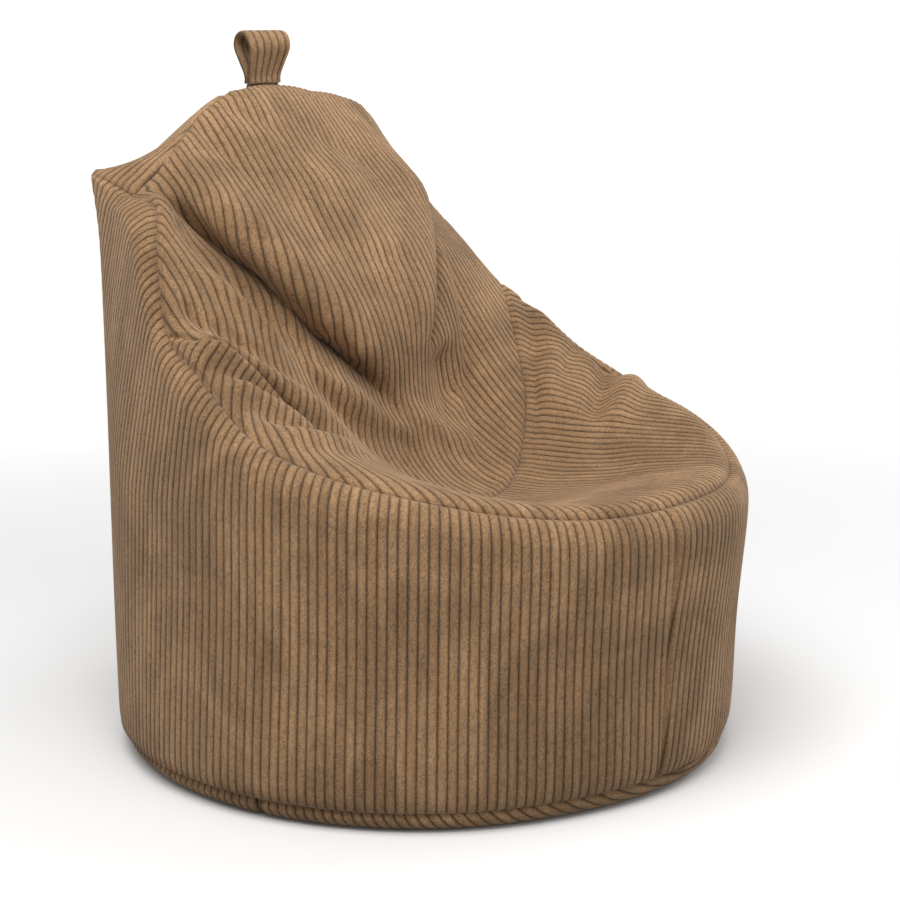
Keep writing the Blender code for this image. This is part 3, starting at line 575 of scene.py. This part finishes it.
def laid_flat(columns, rows, tips, grain_at, grain):
    """The panel's flat pattern in metres, turned so that its wales run along the second axis."""
    some = np.unique(np.append(np.arange(0, len(columns), 3), len(columns) - 1))
    few = np.unique(np.append(np.arange(0, len(rows), 2), len(rows) - 1))
    spots, cells = squares(columns[some], rows[few], *tips)
    points = tub.reshape(-1, 3)[spots]
    data = bpy.data.meshes.new("flat_pattern")
    data.from_pydata(points.tolist(), [], cells)
    work = bpy.data.objects.new("flat_pattern", data)
    bpy.context.scene.collection.objects.link(work)
    bpy.ops.object.select_all(action="DESELECT")
    work.select_set(True)
    bpy.context.view_layer.objects.active = work
    bpy.ops.object.mode_set(mode="EDIT")
    bpy.ops.mesh.select_all(action="SELECT")
    bpy.ops.uv.unwrap(method="MINIMUM_STRETCH", margin=0.0, iterations=30)
    bpy.ops.object.mode_set(mode="OBJECT")
    loops = np.empty(len(data.loops) * 2, np.float32)
    data.uv_layers.active.data.foreach_get("uv", loops)
    corner = np.empty(len(data.loops), np.int32)
    data.loops.foreach_get("vertex_index", corner)
    uv = np.zeros((len(points), 2))
    uv[corner] = loops.reshape(-1, 2)
    bpy.data.objects.remove(work)
    bpy.data.meshes.remove(data)
    tris = np.array([[c[0], c[k], c[k + 1]] for c in cells for k in range(1, len(c) - 1)])
    e1, e2 = points[tris[:, 1]] - points[tris[:, 0]], points[tris[:, 2]] - points[tris[:, 0]]
    f1, f2 = uv[tris[:, 1]] - uv[tris[:, 0]], uv[tris[:, 2]] - uv[tris[:, 0]]
    solid_area = 0.5 * np.linalg.norm(np.cross(e1, e2), axis=1)
    flat_area = 0.5 * (f1[:, 0] * f2[:, 1] - f1[:, 1] * f2[:, 0])
    if flat_area.sum() < 0:
        for pattern in (uv, f1, f2):
            pattern[:, 0] *= -1
    scale = math.sqrt(solid_area.sum() / abs(flat_area.sum()))
    near = np.linalg.norm(points[tris].mean(axis=1) - np.array(grain_at), axis=1) < 0.09
    way = np.zeros(2)
    for n in np.flatnonzero(near):
        sides = np.stack([e1[n], e2[n]], axis=1)
        share = np.linalg.lstsq(sides, np.array(grain, float), rcond=None)[0]
        way += share[0] * f1[n] + share[1] * f2[n]
    c, s = way[::-1] / np.linalg.norm(way)
    uv = uv @ np.array([[c, s], [-s, c]]) * scale
    whole = uv[: len(some) * len(few)].reshape(len(some), len(few), 2)
    whole = fill_in(whole, some, len(columns))
    whole = fill_in(whole.transpose(1, 0, 2), few, len(rows)).transpose(1, 0, 2)
    return np.concatenate([whole.reshape(-1, 2), uv[len(some) * len(few):]])


def edge_lines(tris, uv):
    """The two ends of every outer edge of the flat pattern."""
    sides = np.sort(np.concatenate([tris[:, [0, 1]], tris[:, [1, 2]], tris[:, [2, 0]]]), axis=1)
    pairs, count = np.unique(sides, axis=0, return_counts=True)
    return uv[pairs[count == 1, 0]], uv[pairs[count == 1, 1]]


def wale_lines(uv, tris, row_step):
    """Lines along the wales of the flat pattern: where each lies across it, its height as a share
    of the pile, and the places along it from the pattern's one edge to the other."""
    starts, ends = edge_lines(tris, uv)
    middle_u = 0.5 * (uv[:, 0].min() + uv[:, 0].max())
    wales = np.arange(math.floor((uv[:, 0].min() - middle_u) / WALE),
                      math.ceil((uv[:, 0].max() - middle_u) / WALE) + 1)
    across = (wales[:, None] + np.array(WALE_SPOTS)[None, :]).ravel() * WALE + middle_u
    rises = np.tile(WALE_RISES, len(wales))
    low, high = np.full(len(across), np.inf), np.full(len(across), -np.inf)
    for (ua, va), (ub, vb) in zip(starts, ends):
        if ua == ub:
            continue
        inside = (across >= min(ua, ub)) & (across < max(ua, ub))
        meets = va + (across[inside] - ua) / (ub - ua) * (vb - va)
        low[inside] = np.minimum(low[inside], meets)
        high[inside] = np.maximum(high[inside], meets)
    kept = high - low > 1e-4
    across, rises, low, high = across[kept], rises[kept], low[kept], high[kept]
    steps = max(int((high - low).max() / row_step), 4)
    v = low[:, None] + (high - low)[:, None] * np.linspace(0, 1, steps + 1)
    u = np.repeat(across[:, None], steps + 1, axis=1)
    return u, v, np.repeat(rises, steps + 1), middle_u


def put_back(u, v, uv, tris, spots):
    """Points of the flat pattern put back on the tub: where each lies in the pattern, its place
    on the tub and the direction out of it there."""
    points, out = tub.reshape(-1, 3)[spots], tub_out.reshape(-1, 3)[spots]
    flat_points = np.concatenate([uv, np.zeros((len(uv), 1))], axis=1)
    tree = BVHTree.FromPolygons(flat_points.tolist(), tris.tolist())
    found = [tree.find_nearest((a, b, 0.0)) for a, b in zip(u.ravel(), v.ravel())]
    where = np.array([f[0][:2] for f in found])
    corner = tris[np.array([f[2] for f in found])]
    a, b, c = (uv[corner[:, k]] for k in range(3))
    d1, d2, d0 = b - a, c - a, where - a
    area = d1[:, 0] * d2[:, 1] - d1[:, 1] * d2[:, 0]
    area = np.where(np.abs(area) < 1e-14, 1e-14, area)
    s = (d0[:, 0] * d2[:, 1] - d0[:, 1] * d2[:, 0]) / area
    t = (d1[:, 0] * d0[:, 1] - d1[:, 1] * d0[:, 0]) / area
    weights = np.clip(np.stack([1 - s - t, s, t], axis=1), 0, 1)
    weights /= weights.sum(axis=1, keepdims=True)
    place = (weights[:, :, None] * points[corner]).sum(axis=1)
    normal = (weights[:, :, None] * out[corner]).sum(axis=1)
    normal /= np.linalg.norm(normal, axis=1, keepdims=True)
    bend = place[:, None] - points[corner]
    bend = (bend * out[corner]).sum(axis=2, keepdims=True) * out[corner]
    place = place - ROUNDING * (weights[:, :, None] * bend).sum(axis=1)
    return where, place, normal


def off_the_seam(where, uv, tris):
    """0 at an edge of the flat pattern, 1 beyond the reach of its seam."""
    starts, ends = edge_lines(tris, uv)
    edge = kdtree.KDTree(len(starts) * 6)
    n = 0
    for one, other in zip(starts, ends):
        for k in range(6):
            spot = one + (other - one) * (k / 6)
            edge.insert((spot[0], spot[1], 0.0), n)
            n += 1
    edge.balance()
    to_seam = np.array([edge.find((a, b, 0.0))[2] for a, b in where])
    near = np.clip(to_seam / SEAM_REACH, 0, 1)
    return near * near * (3 - 2 * near)


def closed_sheet(name, outer, inner, shape, cord):
    """A mesh of two layers of one grid, joined round the rim, with its UV map counted in wales."""
    grid = np.arange(shape[0] * shape[1]).reshape(shape)
    quads = np.stack([grid[:-1, :-1], grid[1:, :-1], grid[1:, 1:], grid[:-1, 1:]], axis=-1)
    quads = quads.reshape(-1, 4)
    rim_line = np.concatenate([grid[:, 0], grid[-1, 1:], grid[-2::-1, -1], grid[0, -2:0:-1]])
    after = np.roll(rim_line, -1)
    sides = np.stack([after, rim_line, rim_line + grid.size, after + grid.size], axis=1)
    faces = np.concatenate([quads, quads[:, ::-1] + grid.size, sides])
    verts = np.concatenate([outer, inner])
    data = bpy.data.meshes.new(name)
    data.vertices.add(len(verts))
    data.vertices.foreach_set("co", verts.astype(np.float32).ravel())
    data.loops.add(faces.size)
    data.loops.foreach_set("vertex_index", faces.astype(np.int32).ravel())
    data.polygons.add(len(faces))
    data.polygons.foreach_set("loop_start", np.arange(0, faces.size, 4, dtype=np.int32))
    data.update(calc_edges=True)
    layer = data.uv_layers.new(name="cord")
    layer.data.foreach_set("uv", np.tile(cord, (2, 1))[faces.ravel()].astype(np.float32).ravel())
    data.shade_smooth()
    return data


def corduroy(node, columns, first, last, grain_at, grain, row_step, lean=None, settle=None):
    """One panel of the cover, in place of a CAD node, as a closed sheet with its pile. grain is
    the way its wales run near the point grain_at. lean changes their run in the flat pattern,
    and settle moves the finished sheet where it lies on something."""
    tips = first == 0, last == MIDDLE_RING
    rows = np.arange(first + tips[0], last + 1 - tips[1])
    spots, cells = squares(columns, rows, *tips)
    tris = np.array([[c[0], c[k], c[k + 1]] for c in cells for k in range(1, len(c) - 1)])
    uv = laid_flat(columns, rows, tips, grain_at, grain)
    if lean is not None:
        uv = lean(uv, tub.reshape(-1, 3)[spots])
    u, v, rises, middle_u = wale_lines(uv, tris, row_step)
    where, place, normal = put_back(u, v, uv, tris, spots)
    grown = off_the_seam(where, uv, tris)
    rise = PILE_HEIGHT * rises * (0.15 + 0.85 * grown)
    sink = SEAM_DIP * (1 - grown)
    outer = place + normal * (rise - sink)[:, None]
    inner = place - normal * (CLOTH_BACK + sink)[:, None]
    if settle is not None:
        outer, inner = settle(outer, inner)
    cord = np.stack([(u.ravel() - middle_u) / WALE, v.ravel() / WALE], axis=1)
    data = closed_sheet(node + "_cloth", outer, inner, u.shape, cord)
    data.materials.append(cord_cloth)
    piece = bpy.data.objects.new(node + "_cloth", data)
    bpy.context.scene.collection.objects.link(piece)
    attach(piece, "bag")
    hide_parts(node)


def cord_finish(name):
    """Cotton pile: painted shade dark between two wales, lighter wale tops, and painted sheen in soft
    brushed patches.
    """
    made = bpy.data.materials.new(name)
    made.use_nodes = True
    nodes, links = made.node_tree.nodes, made.node_tree.links
    shader = nodes["Principled BSDF"]
    shader.inputs["Roughness"].default_value = 0.92
    shader.inputs["Specular IOR Level"].default_value = 0.18
    shader.inputs["Sheen Weight"].default_value = 0.30
    shader.inputs["Sheen Roughness"].default_value = 0.45
    shader.inputs["Sheen Tint"].default_value = (0.95, 0.80, 0.64, 1)
    flat = nodes.new("ShaderNodeUVMap")
    flat.uv_map = "cord"
    split = nodes.new("ShaderNodeSeparateXYZ")
    links.new(flat.outputs["UV"], split.inputs[0])
    body = nodes.new("ShaderNodeTexCoord")

    def math_node(kind, a, b):
        node = nodes.new("ShaderNodeMath")
        node.operation = kind
        for socket, value in zip(node.inputs, (a, b)):
            if isinstance(value, float):
                socket.default_value = value
            else:
                links.new(value, socket)
        return node.outputs[0]

    def noise(source, scale, detail, rough, stretch=None, distort=0.0):
        node = nodes.new("ShaderNodeTexNoise")
        node.inputs["Scale"].default_value = scale
        node.inputs["Detail"].default_value = detail
        node.inputs["Roughness"].default_value = rough
        node.inputs["Distortion"].default_value = distort
        if stretch is None:
            links.new(source, node.inputs["Vector"])
        else:
            mapping = nodes.new("ShaderNodeMapping")
            mapping.inputs["Scale"].default_value = stretch
            links.new(source, mapping.inputs["Vector"])
            links.new(mapping.outputs[0], node.inputs["Vector"])
        return node.outputs["Fac"]

    def ramp(source, stops):
        node = nodes.new("ShaderNodeValToRGB")
        for n, (spot, colour) in enumerate(stops):
            stop = node.color_ramp.elements[n] if n < 2 else node.color_ramp.elements.new(spot)
            stop.position = spot
            stop.color = (*colour, 1)
        links.new(source, node.inputs[0])
        return node.outputs[0]

    def times(first, second):
        node = nodes.new("ShaderNodeMix")
        node.data_type = "RGBA"
        node.blend_type = "MULTIPLY"
        node.inputs["Factor"].default_value = 1.0
        links.new(first, node.inputs["A"])
        links.new(second, node.inputs["B"])
        return node.outputs["Result"]

    # painted shade: the pile colour darkens towards each groove between two wales, where shade falls
    from_groove = math_node("PINGPONG", split.outputs[0], 0.5)
    pile = (0.365, 0.219, 0.114)
    cord = ramp(from_groove, (
        (0.0, [c * 0.30 for c in pile]),
        (0.08, [c * 0.56 for c in pile]),
        (0.18, [c * 0.88 for c in pile]),
        (0.36, pile),
    ))
    # painted sheen: soft lighter and darker patches where the pile lies brushed different ways
    brushed = noise(body.outputs["Object"], 5.5, 3.0, 0.55, distort=1.4)
    streaks = noise(flat.outputs["UV"], 0.9, 4.0, 0.65, stretch=(1.0, 0.11, 1.0))
    worms = noise(flat.outputs["UV"], 3.2, 3.0, 0.6, stretch=(1.0, 0.75, 1.0), distort=2.2)
    sheen_patch = ramp(brushed, ((0.40, (0.80, 0.79, 0.77)), (0.60, (1.12, 1.12, 1.12))))
    streak = ramp(streaks, ((0.32, (0.80, 0.79, 0.78)), (0.66, (1.12, 1.12, 1.12))))
    worm = ramp(worms, ((0.38, (0.62, 0.61, 0.60)), (0.58, (1.13, 1.13, 1.13))))
    links.new(times(times(times(cord, sheen_patch), streak), worm), shader.inputs["Base Color"])
    fuzz = noise(flat.outputs["UV"], 9.0, 4.0, 0.7, stretch=(1.0, 0.8, 1.0))
    height = math_node("ADD", math_node("MULTIPLY", worms, 0.65), math_node("MULTIPLY", fuzz, 0.35))
    bump = nodes.new("ShaderNodeBump")
    bump.inputs["Strength"].default_value = 0.9
    bump.inputs["Distance"].default_value = 0.0016
    links.new(height, bump.inputs["Height"])
    links.new(bump.outputs[0], shader.inputs["Normal"])
    return made


cord_cloth = cord_finish("jumbo_corduroy")


def leaning(hand):
    """The wall's wales lean forward where it climbs to the ear."""

    def lean(uv, points):
        round_it = np.degrees(np.arctan2(np.abs(points[:, 0]), -points[:, 1]))
        amount = np.clip((round_it - 82) / 42, 0, 1)
        up = np.clip((points[:, 2] - 0.33) / 0.32, 0, 1)
        pushed = uv.copy()
        pushed[:, 0] += hand * 0.115 * amount * amount * (3 - 2 * amount) * up**1.3
        return pushed

    return lean


for side, start, end, hand in (("left", FRONT_SEAM, CORNER, 1), ("right", -CORNER, FRONT_SEAM, -1)):
    corduroy(f"outer_wall_{side}", between(start, end), BASE_RING, RIM_RING,
             (hand * 0.26, -0.26, 0.15), (0, 0, 1), WALL_ROW, lean=leaning(hand))
corduroy("outer_back", between(CORNER, -CORNER), BASE_RING, RIM_RING,
         (0, 0.36, 0.3), (0, 0, 1), ROW)

# ---------------------------------------------------------------------------------------------
# The inside of the chair, in the same corduroy: the leaf-shaped backrest, the horseshoe of seat
# and arms, and the strip across the top. They are sewn to each other and to the outer panels.
corduroy("inner_back", between(NOTCH, -NOTCH), TOP_RING, MIDDLE_RING,
         (0, 0.1, 0.55), (0, 0.5, 1), ROW)
corduroy("seat_and_arms", between(-NOTCH, NOTCH), TOP_RING, MIDDLE_RING,
         (0, -0.25, 0.33), (0, 1, 0), ROW)


def ear_to_ear(uv, points):
    """The strip's wales run along it, from the point of one ear to that of the other."""
    flat = uv.reshape(-1, GUSSET_ROWS + 1, 2)
    half = GUSSET_ROWS // 2
    stops = np.array([flat[10, 0], flat[26, half], flat[len(flat) // 2, half],
                      flat[-27, half], flat[-11, 0]])
    stops = np.vstack([1.6 * stops[0] - 0.6 * stops[1], stops, 1.6 * stops[-1] - 0.6 * stops[-2]])
    line = along(np.concatenate([stops, np.zeros((7, 1))], axis=1)[None], 300)[0][:, :2]
    way = np.gradient(line, axis=0)
    way /= np.linalg.norm(way, axis=1, keepdims=True)
    gap = uv[:, None] - line[None]
    near = (gap**2).sum(axis=2).argmin(axis=1)
    gap = gap[np.arange(len(uv)), near]
    run = np.r_[0, np.linalg.norm(np.diff(line, axis=0), axis=1).cumsum()][near]
    aside = gap[:, 0] * way[near, 1] - gap[:, 1] * way[near, 0]
    return np.stack([aside, run + (gap * way[near]).sum(axis=1)], axis=1)


corduroy("top_gusset", between(EAR, -EAR), RIM_RING, TOP_RING,
         (0, 0.30, 0.77), (1, 0, 0), ROW, lean=ear_to_ear)

# ---------------------------------------------------------------------------------------------
# The round base, two half discs of the same cloth sewn together beyond the ends of the zip that
# lies between them. The chair's weight presses its pile flat where it stands.
SLOT_HALF = (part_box("base_rear")[0].y + 0.008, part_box("cover_zip_stop_closed")[1].x)


def beside_the_zip(way):
    """How one half lies: drawn back from the zip, and pressed flat on the ground."""

    def settle(outer, inner):
        for layer, least in ((outer, 0.0003), (inner, 0.0024)):
            open_here = np.clip((SLOT_HALF[1] + 0.012 - np.abs(layer[:, 0])) / 0.012, 0, 1)
            layer[:, 1] += way * 0.0078 * open_here * np.exp(-np.abs(layer[:, 1]) / 0.05)
            layer[:, 2] = np.maximum(layer[:, 2] + 0.0012, least)
        return outer, inner

    return settle


corduroy("base_front", between(-90, 90), 0, BASE_RING, (0, -0.15, 0), (1, 0, 0), ROW,
         settle=beside_the_zip(-1))
corduroy("base_rear", between(90, -90), 0, BASE_RING, (0, 0.15, 0), (1, 0, 0), ROW,
         settle=beside_the_zip(1))

# ---------------------------------------------------------------------------------------------
# The cover's zip, made as the liner's, with brown tapes and teeth. It lies across the base
# between its two halves and is sewn to both, where it can't be seen or sat on.
zip_fastener("cover_zip", "cover_slider", (0.10, 0.062, 0.036), (0.075, 0.05, 0.032))

# ---------------------------------------------------------------------------------------------
# The carry handle: a strap of the same cloth, folded double with its edges turned in, bent over
# and caught by both ends in the seam at the top of the back. It flops forwards and back there.
low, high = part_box("carry_handle")
root_low, root_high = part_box("carry_handle_root")
STRAP_THICK, STRAP_WALE = 0.0052, 0.0012
HALF_CORE = STRAP_THICK / 2 - 0.0008
half_strap, foot_y = (high.x - low.x) / 2 + 0.002, (low.y + high.y) / 2
reach = (high.y - low.y) / 2 + 0.003 - STRAP_THICK / 2
tall = high.z - low.z
bend_z = tall - reach - STRAP_THICK / 2
strap_line = [(-STRAP_THICK / 2 - 0.0001, -0.0008), (-STRAP_THICK / 2 - 0.0002, 0.16 * tall),
              (-0.55 * reach, 0.42 * tall), (-0.98 * reach, bend_z - 0.002)]
strap_line += [(-reach * math.cos(math.radians(a)), bend_z + reach * math.sin(math.radians(a)))
               for a in (30, 60, 90)]
strap_line += [(-y, z) for y, z in strap_line[-2::-1]]
strap_path = along(np.array([[(0.0, y, z) for y, z in strap_line]]), 96)[0]
strap_way = np.gradient(strap_path, axis=0)
strap_way /= np.linalg.norm(strap_way, axis=1, keepdims=True)
strap_out = np.stack([0 * strap_way[:, 0], -strap_way[:, 2], strap_way[:, 1]], axis=1)
# across the strap: over one face, wale by wale, round the turned edge, and back over the other
wales_over = 2 * half_strap / WALE
wale_edges = [(n + s) / wales_over * 2 - 1 for n in range(int(wales_over) + 1) for s in WALE_SPOTS]
face_x = np.unique(np.r_[np.linspace(-1, 1, 9), wale_edges])
face_x = face_x[(face_x >= -1) & (face_x <= 1)]


def wale_height(x):
    place = ((x + 1) / 2 * wales_over) % 1.0
    return np.interp(place, [*WALE_SPOTS, 1.0], [*WALE_RISES, WALE_RISES[0]])


def facing_out(data):
    """Turns every face of a closed mesh outwards, and shades it smooth."""
    work = bmesh.new()
    work.from_mesh(data)
    bmesh.ops.recalc_face_normals(work, faces=work.faces)
    work.to_mesh(data)
    work.free()
    data.shade_smooth()


edge_round = np.sqrt(np.clip(1 - np.abs(face_x) ** 14, 0, 1))
upper = (HALF_CORE + STRAP_WALE * wale_height(face_x)) * edge_round
under = (HALF_CORE + STRAP_WALE * wale_height(-face_x)) * edge_round
outline = np.concatenate([np.stack([face_x * half_strap, upper], axis=1),
                          np.stack([face_x * half_strap, -under], axis=1)[-2:0:-1]])
rings = (strap_path[:, None, :] + strap_out[:, None, :] * outline[None, :, 1:2]
         + np.array([1.0, 0, 0]) * outline[None, :, 0:1])
climb = np.clip(rings[:, :, 2] / tall, 0, 1)
twist = math.radians(-19) * climb * climb * (3 - 2 * climb)
cos, sin = np.cos(twist), np.sin(twist)
x, y = rings[:, :, 0].copy(), rings[:, :, 1].copy()
rings[:, :, 0], rings[:, :, 1] = x * cos - y * sin, x * sin + y * cos
rings += np.array([0.0, foot_y, low.z])
count, wide = rings.shape[:2]
grid = np.arange(count * wide).reshape(count, wide)
beyond = np.roll(grid, -1, axis=1)
faces = np.stack([grid[:-1], grid[1:], beyond[1:], beyond[:-1]], axis=-1).reshape(-1, 4).tolist()
faces += [grid[0].tolist(), grid[-1][::-1].tolist()]
data = bpy.data.meshes.new("carry_handle_strap")
data.from_pydata(rings.reshape(-1, 3).tolist(), [], faces)
run = np.r_[0, np.linalg.norm(np.diff(strap_path, axis=0), axis=1).cumsum()] / WALE
across_it = (outline[:, 0] / half_strap + 1) / 2 * wales_over
layer = data.uv_layers.new(name="cord")
for face in data.polygons:
    for corner in face.loop_indices:
        vertex = data.loops[corner].vertex_index
        layer.data[corner].uv = (across_it[vertex % wide], run[vertex // wide])
facing_out(data)
data.materials.append(cord_cloth)
strap = bpy.data.objects.new("carry_handle_strap", data)
bpy.context.scene.collection.objects.link(strap)
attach(strap, "handle_loop")
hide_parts("carry_handle")

# its two ends, pressed together where they go down into the seam
end_out = 0.0036 + STRAP_WALE * wale_height(face_x) * edge_round
end_line = np.concatenate([
    np.stack([face_x * half_strap, -end_out * edge_round], axis=1),
    np.stack([face_x * half_strap, end_out * edge_round], axis=1)[::-1][1:-1],
])
heights = (root_low.z - 0.0085, root_low.z - 0.003, root_high.z - 0.0002)
pinch = (1.0, 0.9, 0.16)
corners = [(float(x), foot_y + float(y) * p, z) for z, p in zip(heights, pinch) for x, y in end_line]
wide = len(end_line)
faces = [(k * wide + n, k * wide + (n + 1) % wide, (k + 1) * wide + (n + 1) % wide, (k + 1) * wide + n)
         for k in (0, 1) for n in range(wide)]
faces += [tuple(range(wide))[::-1], tuple(range(2 * wide, 3 * wide))]
data = bpy.data.meshes.new("carry_handle_ends")
data.from_pydata(corners, [], faces)
layer = data.uv_layers.new(name="cord")
for loop, spot in zip(data.loops, layer.data):
    x, y, height = data.vertices[loop.vertex_index].co
    spot.uv = ((x / half_strap + 1) / 2 * wales_over, height / WALE)
facing_out(data)
data.materials.append(cord_cloth)
root = bpy.data.objects.new("carry_handle_ends", data)
bpy.context.scene.collection.objects.link(root)
bpy.ops.object.select_all(action="DESELECT")
root.select_set(True)
bpy.context.view_layer.objects.active = root
bpy.ops.object.shade_smooth_by_angle(angle=math.radians(40))
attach(root, "bag")
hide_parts("carry_handle_root")

# ---------------------------------------------------------------------------------------------
# The studio: a pale paper floor that fades to white away from the chair, a large soft light on
# the upper left, two weaker ones in front and on the right, and the camera.
AZIMUTH, LENS, SENSOR = -57.0, 88.16, 36.0
look = np.array([0.0, 0.0, 0.345])
turn_to = math.radians(AZIMUTH)
back_way = np.array([math.sin(turn_to), -math.cos(turn_to), 0.0])
right_way = np.array([math.cos(turn_to), math.sin(turn_to), 0.0])
aside = right_way * 0.0118
spot = back_way * 2.56 + aside
spot[2] = 0.862
camera = bpy.data.objects.new("camera", bpy.data.cameras.new("camera"))
bpy.context.scene.collection.objects.link(camera)
camera.data.lens, camera.data.sensor_width = LENS, SENSOR
camera.location = spot
camera.rotation_euler = Vector(look + aside - spot).to_track_quat("-Z", "Y").to_euler()
bpy.context.scene.camera = camera

bpy.ops.object.select_all(action="DESELECT")
bpy.ops.mesh.primitive_plane_add(size=12, location=(0, 0, 0))
floor = bpy.context.object
floor.name = "studio_floor"
paper = bpy.data.materials.new("pale_paper")
paper.use_nodes = True
nodes, links = paper.node_tree.nodes, paper.node_tree.links
nodes["Principled BSDF"].inputs["Roughness"].default_value = 0.9
seen = nodes.new("ShaderNodeLightPath")
shade = nodes.new("ShaderNodeMix")
shade.data_type = "RGBA"
shade.inputs["A"].default_value = (0.36, 0.36, 0.36, 1)
shade.inputs["B"].default_value = (0.90, 0.90, 0.90, 1)
links.new(seen.outputs["Is Camera Ray"], shade.inputs["Factor"])
links.new(shade.outputs["Result"], nodes["Principled BSDF"].inputs["Base Color"])
spread = nodes.new("ShaderNodeTexCoord")
reach_out = nodes.new("ShaderNodeVectorMath")
reach_out.operation = "LENGTH"
links.new(spread.outputs["Object"], reach_out.inputs[0])
fade = nodes.new("ShaderNodeMapRange")
fade.inputs["From Min"].default_value, fade.inputs["From Max"].default_value = 1.0, 1.9
links.new(reach_out.outputs["Value"], fade.inputs["Value"])
glow = nodes.new("ShaderNodeEmission")
blend = nodes.new("ShaderNodeMixShader")
links.new(fade.outputs[0], blend.inputs[0])
links.new(nodes["Principled BSDF"].outputs[0], blend.inputs[1])
links.new(glow.outputs[0], blend.inputs[2])
links.new(blend.outputs[0], nodes["Material Output"].inputs["Surface"])
floor.data.materials.append(paper)

world = bpy.context.scene.world or bpy.data.worlds.new("studio")
bpy.context.scene.world = world
world.use_nodes = True
sky = world.node_tree.nodes["Background"]
sky.inputs["Color"].default_value = (1, 1, 1, 1)
seen = world.node_tree.nodes.new("ShaderNodeLightPath")
strength = world.node_tree.nodes.new("ShaderNodeMapRange")
strength.inputs["To Min"].default_value, strength.inputs["To Max"].default_value = 0.50, 1.1
world.node_tree.links.new(seen.outputs["Is Camera Ray"], strength.inputs["Value"])
world.node_tree.links.new(strength.outputs[0], sky.inputs["Strength"])
for name, place, size, power in (
    ("key_light", (-1.5, -0.5, 3.1), 2.2, 88),
    ("front_light", (-0.4, -3.4, 1.6), 2.0, 12),
    ("right_light", (2.6, -1.4, 1.5), 1.6, 22),
):
    lamp = bpy.data.objects.new(name, bpy.data.lights.new(name, "AREA"))
    bpy.context.scene.collection.objects.link(lamp)
    lamp.data.size, lamp.data.energy = size, power
    lamp.location = place
    lamp.rotation_euler = (Vector((0, 0, 0.35)) - Vector(place)).to_track_quat("-Z", "Y").to_euler()
bpy.context.scene.view_settings.view_transform = "Standard"
